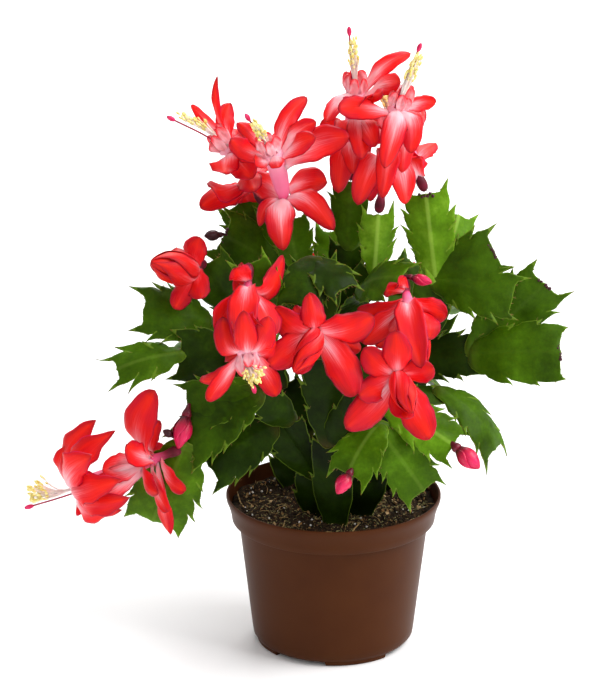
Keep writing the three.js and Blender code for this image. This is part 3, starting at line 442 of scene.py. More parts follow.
def budTissue():
    # bud: tight magenta petals with a satin skin, dark at the base
    material, tree, skin = newFinish("budTissue", Roughness=0.34, IOR=1.4, Subsurface_Weight=0.1,
                                     Subsurface_Scale=0.0015)
    along, pale, lane = flowerMarks(tree, 6.0, 1.0)
    veins = addNode(tree, "ShaderNodeTexNoise", {"Vector": lane, "Scale": 2.0, "Detail": 3})
    place = weighed(tree, -0.15, (along, 1.0), (veins, 0.3))
    tone = addNode(tree, "ShaderNodeValToRGB", [place], stops=[
        (0.0, "#360c0e"), (0.2, "#5c0f22"), (0.42, "#c0103e"), (0.8, "#e0205a"), (1.0, "#c00c3c")])
    dress(tree, skin, addNode(tree, "ShaderNodeMix", {0: pale, 6: "#3a0f18", 7: tone}, 2, data_type="RGBA"))
    return material


potFinish = polypropylene()
peatFinish = peatCompost()
perliteFinish = mottled("expandedPerlite", "#cfc9bd", "#f4f1ea", 900, 0.9)
barkFinish = mottled("shreddedBark", "#5e4124", "#a8814e", 500, 0.9)
fibreFinish = mottled("peatFibre", "#785a30", "#c4a268", 300, 0.8)
mossFinish = mottled("driedMoss", "#565230", "#b4aa72", 600, 0.95)
chipFinish = mottled("woodChip", "#9a7242", "#e0bc8a", 260, 0.85)
stemFinish = stemSkin()
petalFinish = petalTissue()
tubeFinish = tubeTissue()
budFinish = budTissue()
thread = {
    "places": (0.35, 0.65), "detail": 2, "IOR": 1.4, "Subsurface_Weight": 0.15, "Subsurface_Scale": 0.001,
}
filamentFinish = mottled("filamentTissue", "#fdf3ea", "#fbe3dc", 420, 0.5, **thread)
pollenFinish = mottled("pollen", "#e6cf6a", "#f6ecac", 420, 0.9, **thread)
styleFinish = mottled("styleTissue", "#8c0f34", "#b01a44", 420, 0.4, **thread)
stigmaFinish = mottled("stigmaTissue", "#c80f4c", "#e22a68", 420, 0.5, **thread)
print("materials made")


# Pot: thin-walled, with a smooth rim band, a rolled lip, four feet and four drain holes

potSizes = {
    "sides": 180, "firstFoot": -72, "footSpan": 48, "feet": 4, "footTop": 2.5, "footStep": 0.012,
    "drain": 3.2, "drainCircle": 33.0, "drainSides": 28, "drainEnds": (-3, 9), "sharpFrom": 38,
    # radii of the underside's rings: the flat hub, then the part with the grooves between the feet
    "hub": [7.0, 14.0], "grooved": [14.2, 41.6], "floor": [28.0, 10.0], "floorTop": 5.2,
    # (radius, height), up the outside, over the lip and down the inside; the first two rings are grooved too
    "wall": [
        (42.2, 0.0), (42.9, 0.5), (43.1, 2.5), (44.0, 3.4), (45.0, 4.9), (45.6, 9.0), (49.2, 40.0),
        (52.4, 67.0), (53.0, 71.4), (53.9, 72.0), (56.2, 72.1), (56.75, 72.7), (57.2, 76.0), (58.0, 79.2),
        (58.9, 82.0), (59.75, 84.0), (60.0, 85.2), (60.0, 86.3), (59.7, 86.85), (59.25, 87.0),
        (58.8, 86.85), (58.5, 86.3), (58.0, 83.6), (57.0, 80.0), (55.8, 76.0), (55.3, 73.6), (52.2, 70.6),
        (51.3, 66.0), (47.8, 38.0), (44.4, 9.0), (43.4, 5.6), (42.0, 5.2),
    ],
}


def ringOf(turn, radius, height):
    return np.stack([radius * np.cos(turn), radius * np.sin(turn), np.full(len(turn), height)], 1)


def buildPot():
    size = potSizes
    half = math.pi / size["feet"] - math.radians(size["footSpan"] / 2)
    middles = [math.radians(size["firstFoot"] + (i + 0.5) * 360 / size["feet"]) for i in range(size["feet"])]
    # two close points at each side of a groove make its steep step
    edges = [middle + side * half for middle in middles for side in (-1, 1)]
    steps = [(edge + past) % fullTurn for edge in edges for past in (-size["footStep"], size["footStep"])]
    turn = np.sort(np.r_[np.linspace(0, fullTurn, size["sides"], endpoint=False), steps])
    near = np.abs((turn[:, None] - np.array(middles) + math.pi) % fullTurn - math.pi).min(1)
    rings = [ringOf(turn, radius, 0) for radius in size["hub"] + size["grooved"]]
    rings += [ringOf(turn, radius, height) for radius, height in size["wall"]]
    for ring in rings[2:6]:
        ring[near < half, 2] = size["footTop"]
    rings += [ringOf(turn, radius, size["floorTop"]) for radius in size["floor"]]
    parts, drills = newParts(), newParts()
    addRings(parts, rings, [0, 0, 0], [0, 0, size["floorTop"]])
    piece = makeMesh("nurseryPot", parts, [potFinish])

    for middle in middles:
        x, y = math.cos(middle) * size["drainCircle"], math.sin(middle) * size["drainCircle"]
        ends = [(np.array([x, y, z]), (0, 0, 1), size["drain"]) for z in size["drainEnds"]]
        addTube(drills, ends, size["drainSides"])
    drill = makeMesh("drainDrill", drills, [potFinish])
    cut = piece.modifiers.new("drainHoles", "BOOLEAN")
    cut.object, cut.solver = drill, "EXACT"
    applyModifier(piece, cut)
    bpy.data.objects.remove(drill)
    piece.data.set_sharp_from_angle(angle=math.radians(size["sharpFrom"]))
    keepPiece(piece, "pot_plastic", "pot")


buildPot()
print("pot made")

# Compost: a bed of milled peat with an uneven top; crumbs, bark, perlite, fibres and moss lie on it

compostSizes = {
    "level": 80.0, "highest": 84.5, "radius": 56.3, "ring": 1.1, "sides": 220, "seed": 4, "waves": 16,
    "waveHeight": 0.75, "bottom": 5.5, "bareRings": 3,
    # (radius, height) down the pot's inside
    "bedSides": [
        (43.0, 5.5), (44.0, 9.5), (47.3, 38.0), (50.8, 66.0), (52.0, 71.0), (55.0, 75.0), (55.9, 77.6),
    ],
    # bits for each square metre, smallest and largest size, flatness, how far they are lifted, seed
    "grains": {
        "peatCrumbs": (peatFinish, 640000, 0.0004, 0.0013, 0.75, 0.0, 3),
        "peatLumps": (peatFinish, 16000, 0.0012, 0.0028, 0.7, 0.0, 13),
        "barkBits": (barkFinish, 46000, 0.0003, 0.0012, 0.4, 0.0006, 5),
        "woodChips": (chipFinish, 6000, 0.0005, 0.0017, 0.3, 0.0009, 21),
        "perliteGrains": (perliteFinish, 20000, 0.0003, 0.0008, 0.8, 0.0009, 8),
    },
    # threads for each square metre, length, thickness, how much they gather at +X as painted light, seed
    "threads": {
        "peatFibres": (fibreFinish, 12000, 0.0062, 0.00011, 0.0, 11),
        # pale moss gathered towards +X is painted light: it makes the lit right side of the compost lighter
        "mossStrands": (mossFinish, 190000, 0.0013, 0.00014, 0.6, 17),
    },
    "grainDrift": 60.0, "threadDrift": 45.0, "threadRise": 0.0008,
    # the few straws that can be told apart
    "strawRadius": 0.34, "straws": [
        [(-54, 12, 82.4), (-53.2, 4, 83), (-52, -5, 82.8), (-49.5, -13, 82.6), (-46.5, -19, 81)],
        [(9, -49.5, 81), (11, -45, 83.2), (14, -40, 84.4)],
        [(-29, -43, 81), (-27.5, -38, 82.8), (-27, -32, 82.4)],
        [(-10, -50, 82.6), (-4, -49.5, 83), (1, -47, 81.6)],
    ],
}


def buildCompost():
    size = compostSizes
    chance = np.random.default_rng(size["seed"])
    waves = [(1.5 / (1 + k * 0.45), *chance.normal(0, 0.06 * (1 + k * 0.8), 2), chance.uniform(0, 6))
             for k in range(size["waves"])]
    turn = np.linspace(0, fullTurn, size["sides"], endpoint=False)
    rings = [ringOf(turn, radius, height) for radius, height in size["bedSides"]]
    edge = len(rings)
    for radius in np.arange(size["radius"], 1, -size["ring"]):
        x, y = radius * np.cos(turn), radius * np.sin(turn)
        mound = 1.6 * smooth(30, 8, radius) + 1.2 * smooth(45, 57, radius) * np.sin(2 * turn + 0.6)
        uneven = sum(height * np.sin(a * x + b * y + shift) for height, a, b, shift in waves)
        z = size["level"] + mound + size["waveHeight"] * uneven
        rings.append(np.stack([x, y, np.minimum(z, size["highest"])], 1))
    bed, top = newParts(), newParts()
    addRings(bed, rings, [0, 0, size["bottom"]], rings[-1].mean(0))
    # what the loose bits are strewn on: the top alone, without its outermost rings
    rings = rings[edge + size["bareRings"]:]
    addShape(top, np.vstack(rings), ringFaces(len(rings), size["sides"]), [])
    keepPiece(makeMesh("compostBed", bed, [peatFinish]), "compost", "compost")
    return top


def strewTree(name, thread):
    # scatters grains or curved threads over the surface that comes in, in drifts, and the more towards +X
    # the greater the lean; the lean paints light on the lit right side with pale bits
    tree, given = newTree(name, "Bits per square metre", "Smallest", "Largest", "Flatness", "Lean", "Drift",
                          "Rise", "Seed", "Finish")
    place = addNode(tree, "GeometryNodeInputPosition")
    drift = addNode(tree, "ShaderNodeTexNoise", {"Vector": place, "Scale": given["Drift"], "Detail": 2.0})
    drift = addNode(tree, "ShaderNodeMapRange", [drift, 0.36, 0.62, 0.15, 1.5])
    # painted light: more bits towards +X, the side the light falls on
    aside = addNode(tree, "ShaderNodeSeparateXYZ", [place])
    for factor in (22.0, given["Lean"]):
        aside = addNode(tree, "ShaderNodeMath", [aside, factor], operation="MULTIPLY")
    amount = addNode(tree, "ShaderNodeMath", [aside, 1.0], operation="ADD", use_clamp=True)
    for factor in (drift, given["Bits per square metre"]):
        amount = addNode(tree, "ShaderNodeMath", [amount, factor], operation="MULTIPLY")
    inputs = {"Mesh": given["Geometry"], "Seed": given["Seed"], "Density": amount}
    spread = addNode(tree, "GeometryNodeDistributePointsOnFaces", inputs)
    inputs = {0: (0.0, 0.0, 0.0), 1: (6.28, 6.28, 6.28), "Seed": given["Seed"]}
    turn = addNode(tree, "FunctionNodeRandomValue", inputs, data_type="FLOAT_VECTOR")
    if thread:
        turn = addNode(tree, "ShaderNodeVectorMath", [turn, (0.06, 0.06, 1.0)], operation="MULTIPLY")
        bow = {"Resolution": 6, "Start": (-0.5, 0, 0.02), "Middle": (0.12, 0.2, 0.22), "End": (0.5, 0, 0)}
        arc = addNode(tree, "GeometryNodeCurveQuadraticBezier", bow)
        bit = thicken(tree, arc, 4, given["Flatness"])
    else:
        ball = addNode(tree, "GeometryNodeMeshIcoSphere", {"Radius": 1.0, "Subdivisions": 1})
        dent = addNode(tree, "ShaderNodeTexNoise", {"Scale": 1.3, "Detail": 1.0}, 1)
        push = addNode(tree, "ShaderNodeVectorMath", [dent, (0.5, 0.5, 0.5)], operation="SUBTRACT")
        push = addNode(tree, "ShaderNodeVectorMath", {0: push, "Scale": 1.5}, operation="SCALE")
        bit = addNode(tree, "GeometryNodeSetPosition", {"Geometry": ball, "Offset": push})
        squeeze = addNode(tree, "ShaderNodeCombineXYZ", [1.0, 0.8, given["Flatness"]])
        bit = addNode(tree, "GeometryNodeTransform", {"Geometry": bit, "Scale": squeeze})
    inputs = {2: given["Smallest"], 3: given["Largest"], "Seed": given["Seed"]}
    size = addNode(tree, "FunctionNodeRandomValue", inputs, 1, data_type="FLOAT")
    rise = addNode(tree, "ShaderNodeCombineXYZ", [0.0, 0.0, given["Rise"]])
    spots = addNode(tree, "GeometryNodeSetPosition", {"Geometry": spread, "Offset": rise})
    addNode(tree, "NodeGroupOutput", {0: placeCopies(tree, spots, bit, turn, size, given["Finish"])})
    return tree


def strewCompost(top):
    size = compostSizes
    strewGrains, strewThreads = strewTree("strewGrains", False), strewTree("strewThreads", True)
    layers = [(strewGrains, name, size["grainDrift"], 0.0, *layer) for name, layer in size["grains"].items()]
    for name, (finish, amount, length, thickness, lean, seed) in size["threads"].items():
        layers.append((strewThreads, name, size["threadDrift"], lean, finish, amount, length * 0.5,
                       length * 1.4, thickness / length, size["threadRise"], seed))
    for tree, name, drift, lean, finish, amount, smallest, largest, flatness, rise, seed in layers:
        piece = makeMesh(name, top, [finish])
        runTree(piece, tree, {
            "Bits per square metre": float(amount), "Smallest": smallest, "Largest": largest, "Lean": lean,
            "Flatness": flatness, "Drift": drift, "Rise": rise, "Seed": seed, "Finish": finish,
        })
        keepPiece(piece, "compost")
        print(name, len(piece.data.polygons))


def buildStraws():
    parts = newParts()
    for line in compostSizes["straws"]:
        leads = unit(np.gradient(np.array(line, float), axis=0))
        radius = compostSizes["strawRadius"]
        addTube(parts, [(np.array(place, float), lead, radius) for place, lead in zip(line, leads)], 6)
    keepPiece(makeMesh("looseStraws", parts, [fibreFinish]), "compost")


strewCompost(buildCompost())
buildStraws()
print("compost made")


# Leafy stems: the place of the root, and the segments. A segment is: the number of the one it grows from
# (-1: the root), its far end, width, the way its face looks, how far it arches, how long its teeth are and,
# where it stands out, how young and pale it is; a low youth darkens a segment, partly as painted shade.

viewer = [0, -1, 0.3]
upward = [0, -0.4, 1]
leftward = [-1, -0.5, 0.4]
leafyStems = {
    "stem_left_low": [
        [-8, -18], [-1, [-10, -22, 106], 28, [-0.2, -1, 0], 0, 0.5],
        [0, [-35, -30, 138], 19, viewer, 2, 0.5], [0, [-24, -33, 142], 17, [-0.6, -1, 0], 1, 0.5],
        [1, [-69, -40, 117], 32, [-0.2, -1, 0.5], 4, 1], [2, [-42, -47, 161], 20, [-0.3, -1, 0.5], 1, 0.6],
        [4, [-80, -46, 155], 31, [0.1, -0.8, 1], 3, 1.2], [4, [-81, -60, 136], 31, [-0.2, -1, 0.7], 4, 1],
        [6, [-99, -48, 88], 38, [-0.2, -1, 0.1], 3, 1],
    ],
    "stem_left_mid": [
        [-8, 6], [-1, [-16, 4, 120], 24, [-0.4, -1, 0], 0, 0.6],
        [0, [-29, 0, 152], 24, [-0.3, -1, 0.2], 0, 0.7], [1, [-52, -5, 169], 24, viewer, 1, 0.8],
        [2, [-85, -18, 174], 34, [-0.1, -1, 0.2], 3, 0.8],
        [3, [-119, -26, 168], 21, [0, -0.7, 0.8], 4, 1.7, 0.6], [2, [-71, 2, 186], 19, upward, 1, 0.6],
        [5, [-105, -8, 197], 31, [0.1, -0.9, 0.6], 6, 1.1, 0.4], [1, [-46, 8, 184], 24, leftward, 1, 0.8],
        [7, [-70, 2, 221], 31, [-0.3, -1, 0.1], 3, 0.9],
    ],
    "stem_upper_left": [
        [-2, 26], [-1, [-4, 21, 130], 25, [-1, -0.6, 0], 0, 0.6],
        [0, [-12, 15, 178], 26, [-0.3, -1, 0], 0, 0.7], [1, [-19, 9, 216], 25, viewer, 1, 0.9],
        [2, [-25, 3, 246], 24, [-0.2, -1, 0.1], 1, 0.9], [1, [-32, 24, 212], 21, leftward, 1, 0.7],
        [4, [-61, 14, 233], 34, [-0.1, -1, 0.5], 3, 1], [4, [-53, 32, 246], 28, [-0.2, -1, 0.2], 2, 1],
        [2, [-38, 24, 247], 20, [-0.6, -1, 0], 2, 0.8],
    ],
    "stem_tall": [
        [12, 24], [-1, [9, 27, 134], 26, [1, -0.6, 0], 0, 0.6],
        [0, [6, 25, 184], 25, [0.2, -1, 0], 0, 0.7], [1, [8, 22, 225], 24, [0.1, -1, 0], 0, 0.8],
        [2, [9, 20, 262], 21, [-0.1, -1, 0], 1, 0.9], [1, [22, 14, 213], 20, [0.4, -1, 0.2], 1, 0.7],
        [4, [24, 8, 247], 20, [0.1, -1, 0], 1, 1.1, 0.85], [1, [15, -1, 205], 18, upward, 1, 0.6],
        [6, [37, -27, 221], 26, [-0.5, -0.7, 1], 5, 0.9],
    ],
    "stem_right": [
        [17, 6], [-1, [31, 3, 128], 26, [1, -0.7, 0], 0, 0.6],
        [0, [45, 2, 166], 25, [0.4, -1, 0.2], 1, 0.7], [1, [56, 8, 209], 25, viewer, 1, 0.8],
        [2, [50, 15, 257], 27, [-0.1, -1, 0.1], 2, 1.1, 0.74],
        [2, [69, 27, 241], 25, [0.2, -1, 0.1], 2, 1, 0.8], [2, [88, 5, 227], 30, [-0.2, -1, 0.5], 3, 1],
        [2, [98, -9, 204], 29, [-0.1, -1, 0.4], 3, 1], [1, [77, -8, 171], 26, [-0.2, -1, 0.5], 2, 0.8],
        [7, [116, 0, 210], 33, [0.3, -1, 0.4], -5, 1.2],
        [7, [124, -22, 177], 38, [-0.1, -1, 0.6], 4, 0.66],
    ],
    "stem_right_low": [
        [14, -18], [-1, [20, -29, 120], 26, [0.2, -1, 0], 0, 0.6],
        [0, [27, -38, 153], 22, [0.3, -1, 0.2], 0, 0.7], [0, [23, -46, 142], 17, viewer, 1, 0.5],
        [2, [7, -62, 121], 28, [-0.5, -1, 0.7], 4, 1, 0.66],
        [2, [49, -46, 105], 28, [0.1, -1, 0.4], 3, 1, 0.6], [1, [57, -24, 154], 20, upward, 2, 0.7],
        [5, [88, -34, 124], 24, [0.5, -0.6, 1], 8, 1.2, 0.58],
        [1, [65, -47, 132], 26, [0, -1, 0.7], 3, 1, 0.62],
    ],
    "stem_front": [
        [0, -34], [-1, [-3, -40, 132], 24, [-0.2, -1, 0], 0, 0.6],
        [0, [-8, -42, 184], 24, [0.1, -1, 0], 0, 0.7], [1, [-11, -34, 232], 28, viewer, 0, 0.9, 0.16],
        [2, [-20, -56, 214], 28, [-0.1, -1, 1], 3, 0.9, 0.24],
        [2, [5, -51, 222], 22, [0.3, -0.8, 1], 2, 1, 0.3], [1, [-30, -42, 206], 20, leftward, 1, 0.6],
        [5, [-46, -50, 237], 24, [-0.4, -1, 0.2], 2, 0.9], [0, [13, -52, 161], 18, viewer, 1, 0.6],
        [7, [31, -60, 184], 20, [0, -1, 0.6], 1, 0.8],
    ],
    "stem_back_left": [
        [-22, 24], [-1, [-28, 34, 112], 26, [-0.6, 1, 0], 0, 0.6],
        [0, [-46, 46, 138], 26, [-1, 0.6, 0.6], 1, 0.7], [1, [-80, 46, 158], 30, [-0.8, 0.4, 1], 3, 1],
        [2, [-96, 72, 140], 28, [-1, 0.5, 0.6], 3, 1], [1, [-40, 70, 170], 28, [-0.6, 1, -0.3], 2, 0.7],
        [4, [-60, 88, 188], 28, [-1, 0.6, 0.3], 3, 1], [4, [-24, 92, 196], 28, [0, 1, -0.2], 2, 0.7],
        [1, [-62, 76, 120], 31, [-0.9, 0.6, 0.5], 4, 1],
    ],
    "stem_back_right": [
        [26, 22], [-1, [32, 32, 114], 26, [0.6, 1, 0], 0, 0.6],
        [0, [44, 48, 144], 26, [1, 0.6, 0], 1, 0.7], [1, [62, 58, 172], 28, [1, 0.8, -0.2], 2, 0.7],
        [2, [93, 60, 184], 31, [0.6, 0.5, 1], 3, 1], [2, [66, 76, 207], 28, [1, 0.7, 0], 3, 1],
        [1, [37, 74, 172], 28, [-0.2, 1, -0.4], 2, 0.7], [5, [50, 96, 190], 28, [0.2, 1, -0.2], 2, 0.7],
        [1, [60, 72, 122], 28, [1, 0.6, 0.5], 4, 1],
    ],
    "stem_back": [
        [2, 42], [-1, [0, 52, 116], 26, [0.8, 1, 0], 0, 0.6],
        [0, [-4, 66, 146], 26, [-0.7, 1, 0.2], 1, 0.7], [1, [-14, 96, 160], 30, [-0.1, 0.5, 1], 3, 1],
        [1, [18, 96, 130], 30, [0.2, 0.7, 1], 4, 1], [1, [4, 74, 180], 24, [0.7, 1, 0], 1, 0.7],
        [4, [2, 92, 212], 28, [0.1, 1, -0.2], 2, 1],
    ],
}


# Stem segments: flat, lobed bodies with a raised midrib, forward-pointing teeth and two horns at the end

segmentSizes = {
    "overlap": 4.0, "firstOverlap": 6.0, "fold": 0.15, "grid": 1.7, "ribHalf": 1.2, "bodyHalf": 0.8,
    "edgeHalf": 0.26, "neckHalf": 1.5, "veinDepth": 0.3, "ripple": 1.0, "jitter": 0.16,
    # half width along a segment: shares of its length and of its greatest half width
    "envelope": [
        (0, 0.2), (0.07, 0.42), (0.2, 0.7), (0.36, 0.89), (0.56, 1.0), (0.76, 0.98), (0.9, 0.9), (1, 0.76),
    ],
    # how much narrower wedge-shaped segments are at the same places
    "wedge": [0.02, 0.12, 0.2, 0.18, 0.06, 0.0, 0.0, 0.0],
    # where the notches above the teeth lie, by how many teeth a side has
    "notches": {1: [0.62], 2: [0.44, 0.73], 3: [0.34, 0.57, 0.78]},
    # how near a tooth's or horn's point the outline's points lie
    "toothClaw": [0.0] * 6 + [0.1, 0.3, 0.6, 1.0, 0.6, 0.3, 0.1, 0.0],
    "hornClaw": [0.0] * 6 + [0.05, 0.15, 0.3, 0.6, 1.0, 0.6, 0.3, 0.1] + [0.0] * 7,
    # the root in the compost: the soil's height, and height and radius up the root
    "soil": 80.0, "root": [(66, 2.4), (74, 3.2), (79, 2.4), (82, 1.2)],
    # clusters of buds no larger than pinheads: on which segments of a stem, and their outline
    "youngBuds": {"stem_right": [3, 5, 8, 9], "stem_back_right": [3], "stem_upper_left": [5]},
    "youngBud": [(-0.9, 0.4), (-0.5, 0.86), (0, 1), (0.5, 0.86), (0.95, 0.35)], "cluster": 6,
    "bristles": 4, "bristle": {"Length": 0.0018, "Radius": 0.00008, "Seed": 6},
}


def arcTo(a, b, c, count):
    t = np.linspace(0, 1, count + 1)[1:, None]
    return (1 - t) ** 2 * np.array(a) + 2 * t * (1 - t) * np.array(b) + t ** 2 * np.array(c)


def sideOutline(length, width, teeth, rows, chance):
    # points (along, out) of one side from the neck to the middle of the blunt end, and their claw shares
    half = width / 2
    reach = 2.2 + 3.3 * teeth
    shares, halves = np.array(segmentSizes["envelope"]).T
    halves = halves * 0.97 - np.array(segmentSizes["wedge"]) * chance.uniform(0, 1)

    def edge(t):
        return half * float(np.interp(t, shares, halves))

    line = [np.array([[0, edge(0)]]),
            arcTo([0, edge(0)], [length * 0.05, edge(0.16)], [length * 0.2, edge(0.2)], 6)]
    claw = [0.0] * 7
    last = line[-1][-1]
    for t in segmentSizes["notches"][rows]:
        t = t + chance.normal(0, 0.018)
        size = reach * chance.uniform(0.6, 1.1)
        notch = np.array([t * length, edge(t) * 0.93 - size * 0.32])
        tip = notch + size * np.array([chance.uniform(0.8, 1.1), chance.uniform(0.95, 1.25)])
        knee = notch + size * np.array([-0.3, 0.62])
        line += [arcTo(last, [(last[0] + knee[0]) / 2, max(last[1], knee[1]) + size * 0.12], knee, 6),
                 arcTo(knee, knee + size * np.array([0.75, 0.1]), tip, 4),
                 arcTo(tip, notch + size * np.array([0.5, 0.36]), notch, 4)]
        claw += segmentSizes["toothClaw"]
        last = notch
    # broad old segments end bluntly
    size = reach * chance.uniform(0.9, 1.25) * (0.45 if teeth < 0.7 else 1)
    root = np.array([length * 0.985, half * chance.uniform(0.52, 0.62)])
    knee = np.array([length * 0.93, edge(0.93) + size * 0.1])
    horn = np.array([length + size, edge(1.0) + size * chance.uniform(0.1, 0.5)])
    line += [arcTo(last, [(last[0] + knee[0]) / 2, max(last[1], knee[1]) + size * 0.2], knee, 6),
             arcTo(knee, knee + [size * 0.75, -size * 0.1], horn, 5),
             arcTo(horn, root + [size * 0.25, half * 0.08], root, 5),
             arcTo(root, [length * (0.965 + chance.normal(0, 0.008)), half * 0.3], [length * 0.985, 0], 5)]
    line, claw = np.vstack(line), np.array(claw + segmentSizes["hornClaw"])
    rough = chance.normal(0, segmentSizes["jitter"], line.shape) * (1 - claw[:, None]) ** 2
    rough[:3] = rough[-1] = 0
    return line + rough, claw


def rimDistance(places, starts, ends):
    span = ends - starts
    share = ((places[:, None] - starts) * span).sum(2) / np.maximum((span ** 2).sum(1), 1e-9)
    nearest = starts + np.clip(share, 0, 1)[..., None] * span
    return np.linalg.norm(places[:, None] - nearest, axis=2).min(1)


def insideRim(places, starts, ends):
    x, y = places[:, :1], places[:, 1:]
    rise = np.where(np.abs(ends[:, 1] - starts[:, 1]) < 1e-9, 1e-9, ends[:, 1] - starts[:, 1])
    at = starts[:, 0] + (y - starts[:, 1]) / rise * (ends[:, 0] - starts[:, 0])
    return (((starts[:, 1] > y) != (ends[:, 1] > y)) & (x < at)).sum(1) % 2 == 1


def segmentPlan(length, width, teeth, chance):
    # flat mesh of a whole segment: places (out, along), triangles, numbers of the rim's points, claw shares
    rows = 1 if teeth < 0.65 else (3 if length > 40 and teeth >= 0.95 else 2)
    right, clawRight = sideOutline(length, width, teeth, rows, chance)
    left, clawLeft = sideOutline(length, width, teeth, rows, chance)
    rim = np.vstack([right[:, ::-1], left[-2::-1, ::-1] * [-1, 1]])
    claw = np.r_[clawRight, clawLeft[-2::-1]]
    ends = np.roll(rim, -1, 0)
    # a staggered grid with a row along the midrib
    step = segmentSizes["grid"]
    ys = np.arange(step * 0.6, length + 6, step * 0.9)
    gridX, gridY = np.meshgrid(np.arange(-width * 0.62, width * 0.62, step), ys)
    gridX = gridX + step * 0.5 * (np.arange(len(ys)) % 2)[:, None]
    inside = np.stack([np.r_[gridX.ravel(), np.zeros(len(ys))], np.r_[gridY.ravel(), ys]], 1)
    out = np.abs(inside[:, 0])
    crowd = (out < step * 0.45) & (out >= 0.01)
    inside = inside[insideRim(inside, rim, ends) & (rimDistance(inside, rim, ends) > 0.55) & ~crowd]
    points = [Vector(p) for p in np.vstack([rim, inside])]
    found = geometry.delaunay_2d_cdt(points, [], [list(range(len(rim)))], 1, 1e-4)
    flat = np.array([tuple(p) for p in found[0]])
    faces = []
    for a, b, c in found[2]:
        u, v = flat[b] - flat[a], flat[c] - flat[a]
        faces.append((a, b, c) if u[0] * v[1] - u[1] * v[0] > 0 else (a, c, b))
    order = np.full(len(flat), -1)
    for i, sources in enumerate(found[3]):
        for source in sources:
            if source < len(rim):
                order[i] = source
    return flat, faces, order, claw, rim, ends


def addSegment(parts, start, end, width, face, bow, teeth, youth, chance):
    size = segmentSizes
    length = np.linalg.norm(end - start)
    along = (end - start) / length
    normal = unit(np.asarray(face, float) - np.dot(face, along) * along)
    side = np.cross(along, normal)
    flat, faces, order, claw, rim, ends = segmentPlan(length, width, teeth, chance)
    out, run = flat.T
    t = run / length
    away = rimDistance(flat, rim, ends)
    away[order >= 0] = 0
    share = np.abs(out) / (width / 2)
    rib = np.exp(-(out / 2.0) ** 2) * (1 - 0.55 * np.clip(t, 0, 1))
    half = (size["edgeHalf"] + (size["bodyHalf"] - size["edgeHalf"]) * smooth(0, 4.5, away)
            + (size["ribHalf"] - size["bodyHalf"]) * rib
            + size["neckHalf"] * smooth(0.16, 0.0, t) * smooth(0, 2.5, away))
    # side veins run from the midrib to the notches
    vein = np.cos(fullTurn * (t * 3.2 - share * 0.8)) * smooth(0.05, 0.5, share) * smooth(0.0, 3.0, away)
    phase, twist, curl = chance.uniform(0, 6.28), chance.normal(0, 0.1), chance.normal(0.0, 0.05)
    ripple = size["ripple"] * np.sin(t * 8 + phase + np.sign(out) * 1.3) * share ** 1.7 * smooth(0.1, 0.5, t)
    fold = size["fold"] * (np.sqrt(out ** 2 + 4) - 2)
    # the points of the teeth bend a little
    bend = np.where(order >= 0, claw[order], 0.0)
    lift = (4 * bow * t * (1 - np.minimum(t, 1.15)) - fold + ripple + curl * share ** 2 * width / 2
            + twist * out * np.clip(t, 0, 1) + size["veinDepth"] * vein + bend * chance.normal(0.1, 0.5))
    sheet = start + np.outer(run, along) + np.outer(out, side) + np.outer(lift, normal)
    # normals of the middle sheet, so that the body is equally thick wherever it bends
    normals = np.zeros((len(flat), 3))
    tri = np.array(faces)
    cross = np.cross(sheet[tri[:, 1]] - sheet[tri[:, 0]], sheet[tri[:, 2]] - sheet[tri[:, 0]])
    for k in range(3):
        np.add.at(normals, tri[:, k], cross)
    body = unit(normals) * half[:, None]
    count = len(flat)
    position = {source: i for i, source in enumerate(order) if source >= 0}
    ring = [position[k] for k in range(len(rim)) if k in position]
    solid = [*faces, *((a + count, c + count, b + count) for a, b, c in faces),
             *((a, a + count, b + count, b) for a, b in zip(ring, ring[1:] + ring[:1]))]
    values = [np.tile(v, 2) for v in (np.clip(t, 0, 1.2), np.abs(out), away, bend)]
    values.append(youth + chance.normal(0, 0.055))
    addShape(parts, np.vstack([sheet + body, sheet - body]), solid, values)
    # areoles sit in the notches and along the end
    areoles = [k for k in range(1, len(claw) - 1) if claw[k] == 0 and (claw[k - 1] > 0 or claw[k + 1] > 0)]
    areoles += [k for k in range(len(claw)) if rim[k][1] > length * 0.955 and claw[k] == 0][::2]
    for k in areoles:
        if k in position:
            x, y = rim[k] - [0, length * 0.55]
            lead = unit(along * max(y, 0.2 * length) + side * x * 0.7 + normal * chance.normal(0, 2))
            bristles.append((sheet[position[k]], lead))
    return start + along * length, along, side, normal


def buildStem(name, root, *segments):
    size = segmentSizes
    chance = chanceFor(name)
    parts = newParts("along", "rib", "rim", "claw", "youth")
    rings = [(np.array([*root, z], float), (0, 0, 1), radius) for z, radius in size["root"]]
    addTube(parts, rings, 12, [[0.3, 5, 5, 0, 0.0]] * len(rings))
    born = []
    for segment in segments:
        born.append(0 if segment[0] < 0 else born[segment[0]] + 1)
    grown = {segment[0] for segment in segments}
    ends = []
    for i, (parent, end, width, face, bow, teeth, *given) in enumerate(segments):
        end = np.array(end, float)
        start = np.array([*root, size["soil"]] if parent < 0 else segments[parent][1], float)
        start = start - unit(end - start) * (size["firstOverlap"] if parent < 0 else size["overlap"])
        # older segments in the shaded core get little youth and so a darker tone: partly their own green,
        # partly painted shade
        youth = given[0] if given else 0.08 + 0.36 * born[i] / max(born) + (0.1 if i not in grown else 0)
        ends.append(addSegment(parts, start, end, width, face, bow, teeth, youth, chance))
    for number in size["youngBuds"].get(name, []):
        middle, along, side, normal = ends[number]
        for k in range(size["cluster"]):
            place = middle + along * chance.uniform(-2.6, -0.9)
            place = place + side * (k - (size["cluster"] - 1) / 2) * 1.5 + normal * chance.normal(0, 0.7)
            radius = chance.uniform(0.7, 1.15)
            rings = [(place + along * radius * x, along, radius * y) for x, y in size["youngBud"]]
            addTube(parts, rings, 8, [[0.3, 0, 0, 0, 0]] * len(rings), 1)
    keepPiece(makeMesh("segments" + name[4:], parts, [stemFinish, budFinish]), "stem_segment", name)


